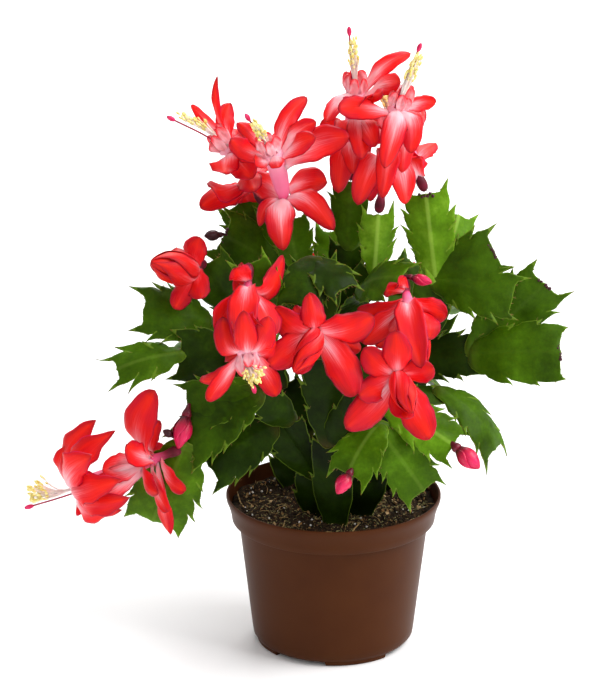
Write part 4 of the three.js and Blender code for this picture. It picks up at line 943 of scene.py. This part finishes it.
def bristleTree():
    # a short, fine bristle on every point, turned along the point's own direction
    tree, given = newTree("growBristles", "Length", "Radius", "Seed", "Finish")
    needle = {"Vertices": 4, "Radius Top": 0.0, "Radius Bottom": given["Radius"], "Depth": given["Length"]}
    cone = addNode(tree, "GeometryNodeMeshCone", needle)
    lead = addNode(tree, "GeometryNodeInputNamedAttribute", ["lead"], data_type="FLOAT_VECTOR")
    inputs = {0: (-0.7, -0.7, -0.7), 1: (0.7, 0.7, 0.7), "Seed": given["Seed"]}
    stray = addNode(tree, "FunctionNodeRandomValue", inputs, data_type="FLOAT_VECTOR")
    aim = addNode(tree, "ShaderNodeVectorMath", [lead, stray], operation="ADD")
    facing = addNode(tree, "FunctionNodeAlignRotationToVector", {"Vector": aim}, axis="Z")
    inputs = {2: 0.5, 3: 1.3, "Seed": given["Seed"]}
    size = addNode(tree, "FunctionNodeRandomValue", inputs, 1, data_type="FLOAT")
    bristles = placeCopies(tree, given["Geometry"], cone, facing, size, given["Finish"])
    addNode(tree, "NodeGroupOutput", {0: bristles})
    return tree


def buildBristles():
    size = segmentSizes
    places, leads = (np.repeat(column, size["bristles"], axis=0) for column in zip(*bristles))
    piece = makeThreads("areoleBristles", places, [], lead=leads)
    runTree(piece, bristleTree(), {**size["bristle"], "Finish": barkFinish})
    keepPiece(piece, "stem_segment")


bristles = []
for stemName, stem in leafyStems.items():
    buildStem(stemName, *stem)
buildBristles()
print("stems made")

# Flowers. The axis runs from the base over the throat to the tip of the stigma or of the closed heart (0, 1
# and 2 below). A petal is: its tip, the place where it leaves the axis, its angle there in degrees, its
# width and paleness. A flower that is half open has the radius of its heart too.

flowers = {
    "flower_top_left": {
        "axis": [[-38, 24, 247], [-60, 14, 284], [-89, 4, 304]],
        "petals": [
            [-63, 16, 322, 0.98, 8, 4.4, 0.1], [-57, 28, 304, 0.97, 30, 9.5, 0.1],
            [-78, 16, 306, 0.98, 14, 5.5, 0.5], [-42, 0, 292, 0.97, 62, 14, 0.3],
            [-39, -4, 283, 0.9, 72, 14, 0.3], [-44, -4, 270, 0.8, 74, 14, 0.3],
            [-59, -12, 274, 0.9, 66, 14, 0.4], [-49, 30, 287, 0.95, 60, 12, 0.1],
            [-73, 6, 250, 0.3, 60, 14, 0.2], [-69, -8, 264, 0.42, 66, 14.5, 0.1],
            [-63, 20, 250, 0.3, 64, 13, 0.2], [-39, 34, 234, 0.25, 70, 13, 0.2],
            [-43, -10, 264, 0.55, 66, 13, 0.1], [-32, 46, 266, 0.35, 60, 13, 0.2],
        ],
    },
    "flower_top_middle": {
        "axis": [[-25, 3, 246], [-34, -12, 288], [-46, -22, 311]],
        "petals": [
            [-15, 4, 313, 0.95, 30, 11, 0.2], [-10, -10, 303, 0.92, 42, 11.5, 0.7],
            [-11, -22, 298, 0.88, 50, 11, 0.4], [8, -18, 297, 0.78, 52, 16.5, 0.6],
            [-52, 6, 298, 0.95, 44, 9, 0.3], [-56, -12, 294, 0.9, 60, 11, 0.1],
            [-30, -28, 283, 0.97, 74, 8.5, 0.95], [-43, -20, 285, 0.92, 66, 9, 0.7],
            [-28, -18, 234, 0.3, 60, 15.5, 0.85], [-1, -10, 243, 0.3, 56, 13, 0.35],
            [-3, 8, 265, 0.36, 66, 14, 0.15], [-41, -4, 243, 0.28, 58, 8, 0.2],
            [-33, 2, 237, 0.2, 60, 9, 0.3], [-47, 16, 263, 0.3, 60, 13, 0.2],
        ],
    },
    "flower_top": {
        "axis": [[9, 20, 262], [11, 8, 316], [9, 0, 353]],
        "petals": [
            [41, 12, 336, 0.95, 22, 9.5, 0.6], [36, -8, 324, 0.93, 36, 12.5, 0.85],
            [26, -16, 320, 0.9, 52, 10, 0.3], [-5, -9, 303, 1.0, 86, 8, 1.1],
            [5, -12, 316, 0.9, 80, 11, 0.0], [17, -24, 320, 0.95, 70, 11, 0.1],
            [14, -22, 285, 0.72, 60, 12, 0.5], [3, -12, 295, 0.7, 70, 12, 0.1],
            [21, -24, 293, 0.7, 58, 11, 0.6], [2, 2, 260, 0.4, 50, 13.5, 0.3],
            [-7, 20, 296, 0.42, 62, 12, 0.1], [10, -6, 273, 0.45, 46, 12, 0.9],
            [2, 50, 272, 0.42, 60, 14, 0.2], [13, 38, 259, 0.42, 55, 14, 0.2],
            [8, 44, 312, 0.9, 50, 12, 0.2],
        ],
    },
    "flower_top_right": {
        "axis": [[24, 8, 247], [34, -8, 312], [47, -12, 347]],
        "petals": [
            [26, -30, 283, 0.97, 66, 12, 0.8], [40, -26, 290, 0.97, 62, 11.5, 0.75],
            [54, -6, 313, 0.97, 46, 9, 0.6], [48, 2, 299, 0.95, 66, 10.5, 0.5],
            [1, -24, 314, 0.93, 74, 12.5, 0.1], [33, 18, 316, 1.0, 8, 5.5, 0.9],
            [30, 4, 318, 1.0, 10, 5, 0.9], [36, -12, 276, 0.75, 50, 11, 0.9],
            [12, -12, 258, 0.5, 50, 14.5, 0.4], [38, -12, 258, 0.48, 52, 13.5, 0.9],
            [19, 4, 254, 0.42, 46, 13, 0.1], [45, 22, 262, 0.45, 55, 14, 0.2],
            [28, 34, 262, 0.45, 55, 14, 0.2], [34, 30, 308, 0.95, 40, 12, 0.2],
            [25, -22, 264, 0.62, 50, 13, 0.7],
        ],
    },
    "flower_right_back": {
        "axis": [[50, 15, 257], [34, 24, 290], [24, 42, 312]],
        "petals": [
            [50, 40, 296, 0.9, 40, 12, 0.1], [21, 30, 291, 0.92, 70, 12, 0.1],
            [39, 34, 312, 0.95, 30, 10, 0.1], [14, 34, 296, 0.95, 50, 12, 0.1],
            [22, 54, 286, 0.95, 60, 13, 0.2], [50, 46, 294, 0.9, 50, 12, 0.2],
            [39, 4, 283, 0.22, 24, 11, 0.1], [44, 20, 274, 0.3, 25, 9, 0.0],
            [38, 36, 262, 0.4, 55, 13, 0.2], [56, 40, 276, 0.4, 50, 12, 0.2],
        ],
    },
    "flower_left_front": {
        "axis": [[-46, -50, 237], [-46, -85, 196], [-42, -97, 181]], "spread": 6,
        "petals": [
            [-48, -97, 226, 0.96, 70, 11.5, 0.17], [-35, -94, 222, 0.96, 70, 12, 0.17],
            [-59, -78, 216, 0.94, 70, 12.5, 0.07], [-73, -76, 179, 0.97, 50, 8, -0.03],
            [-67, -92, 174, 0.97, 44, 10, 0.47], [-31, -84, 174, 0.97, 50, 12, 0.37],
            [-56, -70, 194, 0.97, 78, 9, -0.08], [-32, -76, 202, 0.95, 72, 12, -0.08],
            [-29, -44, 239, 0.28, 62, 15, -0.08], [-50, -40, 234, 0.25, 60, 9, -0.08],
            [-49, -95, 207, 0.24, 44, 16, -0.08], [-62, -80, 205, 0.3, 46, 15, -0.03],
            [-34, -84, 207, 0.3, 44, 14, 0.07], [-53, -66, 239, 0.2, 88, 11, -0.03],
            [-52, -92, 213, 0.62, 52, 12, 0.07], [-39, -96, 220, 0.6, 50, 12, -0.03],
        ],
    },
    "flower_left_low": {
        "axis": [[-81, -60, 136], [-142, -67, 114], [-167, -70, 107]], "ragged": 1.0, "spread": 7.5,
        "filaments": 72, "lips": False,
        "petals": [
            [-143, -60, 138, 0.99, 60, 10, 0.3], [-128, -60, 152, 0.93, 62, 14.5, 0.1],
            [-116, -76, 152, 0.84, 58, 13.5, 0.1], [-128, -90, 144, 0.98, 76, 15, 0.6],
            [-113, -88, 129, 0.96, 74, 14, 0.3], [-114, -76, 107, 0.95, 66, 13, 0.4],
            [-109, -84, 117, 0.9, 66, 13, 0.2], [-123, -50, 102, 0.95, 66, 13, 0.1],
            [-126, -48, 136, 0.9, 60, 13, 0.0], [-96, -60, 169, 0.26, 56, 18.5, 0.3],
            [-110, -84, 147, 0.26, 52, 12, 0.2], [-94, -50, 148, 0.24, 58, 11, 0.2],
            [-88, -70, 90, 0.24, 70, 11, 0.7], [-80, -78, 118, 0.2, 76, 9, 0.5],
            [-88, -84, 109, 0.28, 70, 10, 0.8], [-94, -80, 118, 0.35, 66, 10, 0.1],
            [-92, -36, 127, 0.26, 60, 13, 0.2], [-130, -82, 116, 0.36, 16, 15, 0.95],
            [-124, -76, 129, 0.36, 16, 14, 0.9], [-126, -70, 106, 0.4, 18, 13, 0.8],
        ],
    },
    "flower_back_left": {
        "axis": [[-24, 92, 196], [-32, 130, 180], [-38, 152, 162]],
        "petals": [
            [-42, 114, 198, 0.95, 40, 13, 0.3], [-14, 118, 194, 0.95, 40, 13, 0.3],
            [-6, 122, 170, 0.95, 40, 13, 0.3], [-30, 136, 146, 0.95, 40, 13, 0.3],
            [-62, 126, 172, 0.95, 40, 13, 0.3], [-44, 100, 198, 0.35, 56, 14, 0.2],
            [-12, 104, 192, 0.35, 56, 14, 0.2], [-2, 108, 184, 0.35, 56, 14, 0.2],
            [-28, 100, 168, 0.35, 56, 14, 0.2], [-54, 106, 186, 0.35, 56, 14, 0.2],
            [-56, 112, 196, 0.7, 60, 12, 0.4], [2, 116, 188, 0.7, 60, 12, 0.4],
            [-20, 128, 158, 0.7, 60, 12, 0.4],
        ],
    },
    "flower_back_right": {
        "axis": [[50, 96, 190], [60, 128, 168], [68, 147, 149]],
        "petals": [
            [52, 124, 180, 0.95, 40, 13, 0.3], [76, 121, 186, 0.95, 40, 13, 0.3],
            [84, 130, 162, 0.95, 40, 13, 0.3], [60, 133, 134, 0.95, 40, 13, 0.3],
            [40, 129, 162, 0.95, 40, 13, 0.3], [44, 108, 181, 0.35, 56, 14, 0.2],
            [66, 106, 192, 0.35, 56, 14, 0.2], [80, 108, 177, 0.35, 56, 14, 0.2],
            [50, 102, 160, 0.35, 56, 14, 0.2], [36, 112, 186, 0.7, 60, 12, 0.4],
            [86, 118, 176, 0.7, 60, 12, 0.4], [66, 126, 150, 0.7, 60, 12, 0.4],
        ],
    },
    "flower_opening_left": {
        "axis": [[-70, 2, 221], [-78, -7, 220], [-99, -25, 229]], "heart": 9,
        "petals": [
            [-73, -4, 237, 0.85, 78, 12, -0.2], [-87, -14, 199, 0.9, 65, 12, -0.2],
            [-72, -18, 206, 0.8, 62, 12, -0.2], [-86, 12, 226, 0.9, 65, 14, -0.2],
        ],
    },
    "flower_opening_middle": {
        "axis": [[-20, -56, 214], [-11, -74, 205], [-22, -92, 190]], "heart": 6,
        "petals": [
            [-14, -66, 225, 0.9, 62, 12, -0.2], [20, -76, 216, 0.95, 62, 16.5, -0.07],
            [10, -88, 176, 0.95, 58, 17, 0.08], [13, -66, 194, 0.85, 66, 12, -0.2],
            [-32, -68, 218, 0.9, 66, 14, -0.2], [-35, -82, 190, 0.92, 62, 15, -0.02],
            [-21, -58, 215, 0.85, 66, 13, -0.2], [-20, -78, 184, 0.95, 50, 12, -0.2],
        ],
    },
    "flower_opening_right": {
        "axis": [[37, -27, 221], [40, -46, 208], [48, -63, 184]], "heart": 6.5,
        "petals": [
            [26, -44, 219, 0.45, 88, 8, -0.2], [33, -50, 225, 0.4, 95, 9, -0.2],
            [11, -38, 206, 0.7, 62, 11, -0.2], [14, -52, 193, 0.8, 58, 13, 0.18],
            [22, -48, 189, 0.85, 54, 12, 0.08], [60, -44, 205, 0.75, 62, 13.5, -0.2],
            [45, -80, 188, 0.8, 46, 15, -0.02], [51, -60, 198, 0.95, 52, 12, -0.2],
        ],
    },
    "flower_opening_low": {
        "axis": [[31, -60, 184], [33, -78, 182], [40, -96, 169]], "heart": 6.5,
        "petals": [
            [31, -82, 210, 0.9, 64, 15, -0.12], [52, -80, 188, 0.9, 64, 12, -0.2],
            [14, -76, 198, 0.88, 66, 13, -0.2], [12, -84, 174, 0.92, 64, 13, -0.2],
            [5, -84, 156, 0.95, 60, 15.5, 0.08], [50, -84, 150, 0.95, 52, 17, -0.02],
            [37, -96, 164, 0.98, 40, 13, -0.12],
        ],
    },
}
# base, tip and radius
buds = {
    "bud_left": [[-79, -49, 154], [-84, -64, 137], 5.0],
    "bud_left_small": [[-86, -57, 141], [-92, -60, 146], 2.1],
    "bud_upper_left": [[-61, 14, 233], [-71, 8, 234], 3],
    "bud_right_low": [[64, -47, 133], [78, -57, 123], 5.2],
    "bud_middle": [[9, -62, 124], [1, -74, 115], 4],
    "bud_right": [[39, -27, 222], [52, -35, 221], 3],
}

# Flowers: the petals with tube and ovary are one piece, the stamens and the style are two more

flowerSizes = {
    # ovary: distance from the base in millimetres and radius; tubes: place on the axis and radius
    "ovary": [(0.4, 0.9), (1.4, 2.1), (3, 2.75), (5, 2.95), (7, 2.8), (9, 2.3), (10.5, 2.1)],
    "ovaryTone": 0.27,
    "openTube": [(0.45, 4.3), (0.62, 4.9), (0.8, 5.3), (0.93, 5.5), (0.98, 5.0)],
    "closedTube": [(0.45, 3.3), (0.8, 3.5), (1, 3.5)], "tubeSides": 24,
    # the hollow mouth of an open flower: depth and radius
    "mouth": [(0, 4.0), (0.8, 3.2), (3, 2.6), (6, 2.2)],
    "rows": 21, "columns": 11, "thickness": 0.42, "petalBend": 0.55, "midPetal": 0.6, "turnPace": 1.5,
    "mostTurn": math.radians(50), "farSide": 60, "ripple": 0.8, "ragged": 0.3, "torn": 0.6, "lips": 6,
    # the closed heart of a flower that is half open: place on the axis and share of its radius
    "heart": [
        (0.72, 0.3), (0.9, 0.55), (1.15, 0.88), (1.4, 1.0), (1.65, 0.86), (1.85, 0.5), (1.96, 0.2),
        (2.0, 0.04),
    ],
    "wraps": {"petals": 5, "span": 2.3, "lean": 1.2},
}


def swing(vectors, axes, angles):
    # turns vectors round unit axes
    c, s = np.cos(angles), np.sin(angles)
    along = axes * (vectors * axes).sum(-1, keepdims=True)
    return vectors * c + np.cross(axes, vectors) * s + along * (1 - c)


def addPetal(parts, axis, petal, radii, light, ragged, chance):
    # radii of the tube at places on the axis; the petal turns its face towards the light
    size = flowerSizes
    *tip, place, startAngle, width, pale = petal
    origin, direction = axis(place)
    tip = np.array(tip, float)
    rootRadius = max(float(np.interp(place, *radii)) - 1.0, 1.6)
    out = unit((tip - origin) - direction * np.dot(tip - origin, direction))
    root = origin + out * rootRadius
    start = direction * math.cos(math.radians(startAngle)) + out * math.sin(math.radians(startAngle))
    length = np.linalg.norm(tip - root)
    bend = root + start * size["petalBend"] * length
    outAcross = unit(np.cross(direction, out))

    def leadAt(t):
        return unit(2 * (1 - t) * (bend - root) + 2 * t * (tip - bend))

    midLead = leadAt(size["midPetal"])
    face = np.cross(outAcross, midLead)
    turn = math.atan(np.dot(np.cross(face, light), midLead) / np.dot(face, light))
    turn = min(max(turn, -size["mostTurn"]), size["mostTurn"]) + chance.normal(0, 0.08)
    t = (1 - (1 - np.linspace(0, 1, size["rows"])) ** 1.25)[:, None]
    side = np.linspace(-1, 1, size["columns"])
    middle = (1 - t) ** 2 * root + 2 * t * (1 - t) * bend + t ** 2 * tip
    lead = leadAt(t)
    up = swing(np.cross(outAcross, lead), lead, np.minimum(1, size["turnPace"] * t) * turn)
    across = np.cross(lead, up)
    # tongue-shaped: hardly narrower at its root, blunt with a small point, its two edges worn unevenly
    point = np.clip(1 - (np.clip(t - 0.45, 0, 1) / 0.55) ** 2.6, 0, 1) ** (0.44 + 0.4 * ragged)
    half = width / 2 * (0.56 + 0.44 * smooth(0, 0.45, t)) * point * chance.normal(1.08, 0.04)
    shifts = chance.uniform(0, 6.28, (3, 2))
    worn = sum(np.sin(pace * t + shifts[k]) for k, pace in enumerate((6, 14, 27)))
    worn = worn[:, :1] * (1 - side) / 2 + worn[:, 1:] * (1 + side) / 2
    half = np.maximum(half * (1 + 0.085 * ragged * worn), 0.03)
    # cupped and wavy, with a groove along the middle and a tip that bends a little
    phase, pace = chance.uniform(0, 6.28), chance.uniform(1.1, 2.1)
    lift = chance.normal(0.3, 0.12) * (1 - 0.6 * t) * half * side ** 2
    wave = np.sin(fullTurn * pace * t + phase + np.sign(side) * 1.1)
    ripple = size["ripple"] * (0.7 + 0.9 * ragged) * chance.uniform(0.6, 1.4)
    lift = lift + ripple * wave * np.abs(side) ** 1.6 * smooth(0.12, 0.5, t)
    lift = lift - 0.45 * np.exp(-(side / 0.16) ** 2) * np.minimum(half, 3) / 3
    lift = lift + chance.normal(-0.02, 0.035) * length * smooth(0.6, 1.0, t) ** 2
    lift = lift + half * chance.normal(0, 0.12) * smooth(0.1, 0.7, t) * side
    sheet = middle[:, None] + across[:, None] * (half * side)[..., None] + up[:, None] * lift[..., None]
    addSheet(parts, sheet, size["thickness"], [t, side, pale, chance.uniform(0, 50)])


def addFlowerTube(parts, axis, isOpen):
    # ovary and tube in one; returns the places and radii of its stations
    size = flowerSizes
    pale, ripe = 0.3 if isOpen else 0.2, size["ovaryTone"]
    length = np.linalg.norm(axis(1)[0] - axis(0)[0])
    stations = [(distance / length, radius) for distance, radius in size["ovary"]]
    ovary = len(stations)
    tube = size["openTube" if isOpen else "closedTube"]
    stations += [(place, radius) for place, radius in tube if place > stations[-1][0] + 0.04]
    rings, marks = [], []
    for i, (place, radius) in enumerate(stations):
        # the coloured part starts at the top of the ovary
        share = place * length / size["ovary"][-1][0]
        tone = ripe * share if i < ovary else ripe + (1 - ripe) * place
        rings.append((*axis(place), radius))
        marks.append([tone, 0, pale, 3.0])
    if isOpen:
        centre, lead = axis(0.985)
        rings += [(centre - lead * depth, lead, radius) for depth, radius in size["mouth"]]
        marks += [[0.98 - depth * 0.03, 0, pale, 3.0] for depth, _ in size["mouth"]]
    else:
        rings.append((*axis(1.15), 2.0))
        marks.append([0.9, 0, pale, 3.0])
    addTube(parts, rings, size["tubeSides"], marks, 1)
    return list(zip(*stations))


def addSpindle(parts, axis, profile, radius, marks):
    rings = [(*axis(place), radius * share) for place, share in profile]
    addTube(parts, rings, 16, [marks(t) for t in np.linspace(0, 1, len(profile))])


def addWraps(parts, axis, profile, radius, thickness, marks, petals, span, lean):
    # petals wound round a closed heart: each lies over the next along one edge
    rows = np.linspace(profile[0][0], profile[-1][0], flowerSizes["rows"])
    radii = radius * np.interp(rows, *zip(*profile))
    columns = np.linspace(-1, 1, flowerSizes["columns"])
    along = np.linspace(0, 1, len(rows))
    for k in range(petals):
        sheet = np.zeros((len(rows), len(columns), 3))
        for i, t in enumerate(along):
            centre, lead = axis(rows[i])
            u, v = crossDirections(lead)
            spread = span * (0.45 + 0.55 * math.sin(math.pi * min(t * 1.25, 1) ** 0.8))
            spread = spread * (1 - 0.5 * smooth(0.75, 1, t))
            angles = (fullTurn * k / petals + lean * t - spread * columns / 2)[:, None]
            reach = radii[i] * (1 + 0.07 * columns + 0.05 * (k % 2)) + 0.12 * k / petals
            sheet[i] = centre + reach[:, None] * (np.cos(angles) * u + np.sin(angles) * v)
        addSheet(parts, sheet, thickness, marks(k, along[:, None], columns))


def addLips(parts, axis, chance):
    # short pale petals that stand round the mouth of an open flower
    centre, lead = axis(0.97)
    u, v = crossDirections(lead)
    for k in range(flowerSizes["lips"]):
        angle = fullTurn * (k + chance.uniform(-0.2, 0.2)) / flowerSizes["lips"]
        out = math.cos(angle) * u + math.sin(angle) * v
        tip = centre + lead * chance.uniform(8.5, 13) + out * chance.uniform(3.2, 5.4)
        petal = [*tip, 0.97, 14, chance.uniform(4, 5.6), 1.6]
        addPetal(parts, axis, petal, ((0, 1), (5.2, 5.2)), lead + [0, -0.4, 0.1], 0.0, chance)


def buildFlower(name, spec):
    size = flowerSizes
    isOpen = "heart" not in spec
    axis = curveThrough(spec["axis"])
    chance = chanceFor(name)
    parts = newParts("along", "across", "pale", "seed")
    radii = addFlowerTube(parts, axis, isOpen)
    if not isOpen:
        addSpindle(parts, axis, size["heart"], spec["heart"] * 0.86, lambda t: [0.25 + 0.75 * t, 0, 0, 2.0])
        addWraps(parts, axis, size["heart"], spec["heart"], size["thickness"],
                 lambda k, t, side: [0.12 + 0.84 * t, 0.9 * side, 0.0, 7.0 * k + 1], **size["wraps"])
    light = np.array([0, 0.95 if spec["axis"][0][1] > size["farSide"] else -0.95, 0.3])
    for petal in spec["petals"]:
        # only the petals near the mouth are torn
        ragged = spec.get("ragged", size["ragged"]) if petal[3] > size["torn"] else size["ragged"]
        addPetal(parts, axis, petal, radii, light, ragged, chance)
    if isOpen and spec.get("lips", True):
        addLips(parts, axis, chance)
    keepPiece(makeMesh("petals" + name[6:], parts, [petalFinish, tubeFinish]), "petal", name)


for flowerName, flower in flowers.items():
    buildFlower(flowerName, flower)
print("petals made")

# Stamens: a bundle of white filaments that part towards their anthers

stamenSizes = {
    "filaments": 54, "rise": 0.7, "firstPlace": 0.72, "parting": 1.1, "reach": (0.42, 0.82), "bundle": 0.85,
    "spread": 3.0, "narrowing": 0.35, "lift": 0.9, "flatness": 0.8, "goldenAngle": 2.39996,
    "tree": {"Filament radius": 0.00022, "Anther length": 0.0015, "Anther width": 0.0007, "Seed": 3},
}


def stamenTree():
    # thickens the threads and sets an anther on every marked point
    tree, given = newTree("growStamens", "Filament radius", "Anther length", "Anther width", "Seed",
                          "Filament finish", "Anther finish")
    threads = addNode(tree, "GeometryNodeMeshToCurve", {"Mesh": given["Geometry"]})
    tubes = thicken(tree, threads, 5, given["Filament radius"])
    tubes = addNode(tree, "GeometryNodeSetShadeSmooth", {0: tubes})
    inputs = {"Geometry": tubes, "Material": given["Filament finish"]}
    tubes = addNode(tree, "GeometryNodeSetMaterial", inputs)
    tip = addNode(tree, "GeometryNodeInputNamedAttribute", ["tip"], data_type="FLOAT")
    chosen = addNode(tree, "FunctionNodeCompare", [tip, 0.5], data_type="FLOAT", operation="GREATER_THAN")
    lead = addNode(tree, "GeometryNodeInputNamedAttribute", ["lead"], data_type="FLOAT_VECTOR")
    facing = addNode(tree, "FunctionNodeAlignRotationToVector", {"Vector": lead}, axis="Z")
    inputs = {2: 0.8, 3: 1.25, "Seed": given["Seed"]}
    size = addNode(tree, "FunctionNodeRandomValue", inputs, 1, data_type="FLOAT")
    ball = addNode(tree, "GeometryNodeMeshIcoSphere", {"Radius": 1.0, "Subdivisions": 1})
    ball = addNode(tree, "GeometryNodeSetShadeSmooth", {0: ball})
    shape = [given["Anther width"], given["Anther width"], given["Anther length"]]
    shape = addNode(tree, "ShaderNodeCombineXYZ", shape)
    ball = addNode(tree, "GeometryNodeTransform", {"Geometry": ball, "Scale": shape})
    anthers = placeCopies(tree, given["Geometry"], ball, facing, size, given["Anther finish"],
                          Selection=chosen)
    both = addNode(tree, "GeometryNodeJoinGeometry", {0: tubes})
    tree.links.new(anthers, both.node.inputs[0])
    addNode(tree, "NodeGroupOutput", {0: both})
    return tree


def buildStamens(name, spec, tree):
    size = stamenSizes
    chance = chanceFor(name, 1)
    axis = curveThrough(spec["axis"])
    rise = crossDirections(axis(1)[1])[0] * size["rise"]
    filaments = spec.get("filaments", size["filaments"])
    least, most = size["reach"]
    points, edges, tips, leads = [], [], [], []
    for i in range(filaments):
        turn = size["goldenAngle"] * i + chance.normal(0, 0.2)
        share = ((i * 5) % filaments) / (filaments - 1)
        reach = least + (most - least) * share + chance.normal(0, 0.02)
        spread = spec.get("spread", size["spread"]) * (1 - size["narrowing"] * share)
        spread = spread * chance.uniform(0.5, 1.1)
        line = []
        for place in np.linspace(0, 1 + reach, 12):
            if place < size["firstPlace"]:
                continue
            centre, lead = axis(place)
            u, v = crossDirections(lead)
            gone = max(0.0, (place - size["parting"]) / (1 + reach - size["parting"]))
            distance = size["bundle"] + (spread - size["bundle"]) * gone ** 1.3
            raised = u * distance * (size["lift"] * gone + math.cos(turn)) * size["flatness"]
            line.append(centre + rise + raised + v * distance * math.sin(turn))
        edges += [(len(points) + k, len(points) + k + 1) for k in range(len(line) - 1)]
        points += line
        tips += [0.0] * (len(line) - 1) + [1.0]
        leads += [unit(line[-1] - line[-2])] * len(line)
    piece = makeThreads("stamens" + name[6:], points, edges, tip=tips, lead=leads)
    runTree(piece, tree, {**size["tree"], "Filament finish": filamentFinish, "Anther finish": pollenFinish})
    keepPiece(piece, "stamen", name + "_stamens")


# Styles: a thin magenta thread with a lobed stigma at its end

styleSizes = {
    "radius": 0.48, "sides": 10, "drop": 1.9, "start": 5.6, "steps": 9, "knobLength": 5.0, "knobRadius": 1.3,
    "lobes": 6, "lobeSteps": 7, "lobeSides": 8,
}


def buildStyle(name, spec):
    size = styleSizes
    axis = curveThrough(spec["axis"])
    throat, direction = axis(1)
    drop = crossDirections(direction)[0] * -size["drop"]
    if abs(direction[2]) > 0.8:
        # beside the stamens of an upright flower
        drop = unit([-1, -0.6, 0]) * size["drop"]
    knob = 2 - size["knobLength"] / np.linalg.norm(spec["axis"][2] - throat)
    rings = [(throat - direction * size["start"] + drop, direction, size["radius"])]
    for place in np.linspace(1.08, knob, size["steps"]):
        centre, lead = axis(place)
        rings.append((centre + drop, lead, size["radius"]))
    parts = newParts()
    addTube(parts, rings, size["sides"])
    # stigma lobes lie together as a slim club
    for lobe in range(size["lobes"]):
        angle = fullTurn * lobe / size["lobes"]
        line = []
        for share in np.linspace(0, 1, size["lobeSteps"]):
            centre, lead = axis(knob + (2 - knob) * share)
            u, v = crossDirections(lead)
            away = size["knobRadius"] * 0.55 * math.sin(math.pi * min(0.12 + share * 0.8, 1)) ** 0.7
            radius = size["knobRadius"] * 0.5 * math.sin(math.pi * (0.1 + share * 0.84)) ** 0.5
            line.append((centre + drop + away * (math.cos(angle) * u + math.sin(angle) * v), lead, radius))
        addTube(parts, line, size["lobeSides"], None, 1)
    keepPiece(makeMesh("style" + name[6:], parts, [styleFinish, stigmaFinish]), "style", name + "_style")


growStamens = stamenTree()
for flowerName, flower in flowers.items():
    if "heart" not in flower:
        buildStamens(flowerName, flower, growStamens)
        buildStyle(flowerName, flower)
print("stamens and styles made")

# Buds: wound magenta petals on a small dark ovary

budSizes = {
    # places along the bud and shares of its radius
    "ovary": [(-0.14, 0.2), (0.0, 0.34), (0.08, 0.5), (0.15, 0.56), (0.22, 0.48)],
    "shell": [
        (0.2, 0.46), (0.3, 0.66), (0.42, 0.92), (0.55, 1.0), (0.7, 0.9), (0.84, 0.6), (0.95, 0.25),
        (1.0, 0.05),
    ],
    "thickness": 0.3, "wraps": {"petals": 4, "span": 2.2, "lean": 1.0},
    "dark": ("bud_upper_left", "bud_left_small"),
}


def buildBud(name, base, tip, radius):
    size = budSizes
    base = np.array(base, float)
    lead, length = unit(tip - base), np.linalg.norm(tip - base)
    tone = 0.0 if name in size["dark"] else 1.0

    def axis(place):
        return base + lead * length * place, lead

    parts = newParts("along", "across", "pale", "seed")
    addSpindle(parts, axis, size["ovary"], radius, lambda t: [0.16 + 0.14 * t, 0, tone, 1.0])
    addSpindle(parts, axis, size["shell"], radius * 0.92, lambda t: [0.2 + 0.8 * t, 0, tone, 2.0])
    addWraps(parts, axis, size["shell"], radius * 0.96, size["thickness"],
             lambda k, t, side: [0.1 + 0.9 * t, side, tone, 5.0 * k + 1], **size["wraps"])
    keepPiece(makeMesh("budShell" + name[3:], parts, [budFinish]), "bud", name)


for budName, bud in buds.items():
    buildBud(budName, *bud)
print("buds made")

# Stage: a pale floor under a bright sky, a large soft light from the right, two small ones and the camera

stageSizes = {
    "floorHalf": 12.0, "sky": 0.69,
    # the camera: what it looks at, how steeply it looks down, from how far and through which lens
    "target": (-0.0187, 0.0, 0.1758), "fall": math.radians(18.84), "distance": 1.8, "lens": 172.53,
    # place, the place it shines at, width in metres and power in watts
    "lights": {
        "softKey": [(2.0, -0.5, 2.2), (0, 0, 0.15), 2.2, 102.0],
        "softBack": [(0.1, 1.6, 1.9), (0, 0, 0.3), 1.0, 32.0],
        "softFront": [(0.4, -2.2, 1.4), (0, 0, 0.15), 1.0, 3.0],
    },
}


def buildStage():
    size = stageSizes
    scene = bpy.context.scene
    reach = size["floorHalf"]
    mesh = bpy.data.meshes.new("paleFloor")
    mesh.from_pydata([(-reach, -reach, 0), (reach, -reach, 0), (reach, reach, 0), (-reach, reach, 0)], [],
                     [(0, 1, 2, 3)])
    mesh.materials.append(newFinish("paleStudioFloor", Roughness=0.9, Base_Color=(0.97, 0.97, 0.97, 1),
                                    Specular_IOR_Level=0.1)[0])
    floor = addObject("paleFloor", mesh)
    world = bpy.data.worlds.new("brightSky")
    scene.world = world
    world.use_nodes = True
    world.node_tree.nodes["Background"].inputs[0].default_value = (1, 1, 1, 1)
    world.node_tree.nodes["Background"].inputs[1].default_value = size["sky"]
    for name, (place, aim, width, power) in size["lights"].items():
        data = bpy.data.lights.new(name, "AREA")
        data.size = width
        data.energy = power
        light = addObject(name, data)
        light.location = place
        light.rotation_euler = (Vector(aim) - Vector(place)).to_track_quat("-Z", "Y").to_euler()
    data = bpy.data.cameras.new("photoCamera")
    data.lens = size["lens"]
    data.sensor_width = 36
    data.clip_end = 60
    camera = addObject("photoCamera", data)
    forward = Vector((0, math.cos(size["fall"]), -math.sin(size["fall"])))
    camera.location = Vector(size["target"]) - forward * size["distance"]
    camera.rotation_euler = forward.to_track_quat("-Z", "Y").to_euler()
    scene.camera = camera
    scene.view_settings.view_transform = "Standard"


buildStage()
print("stage made")
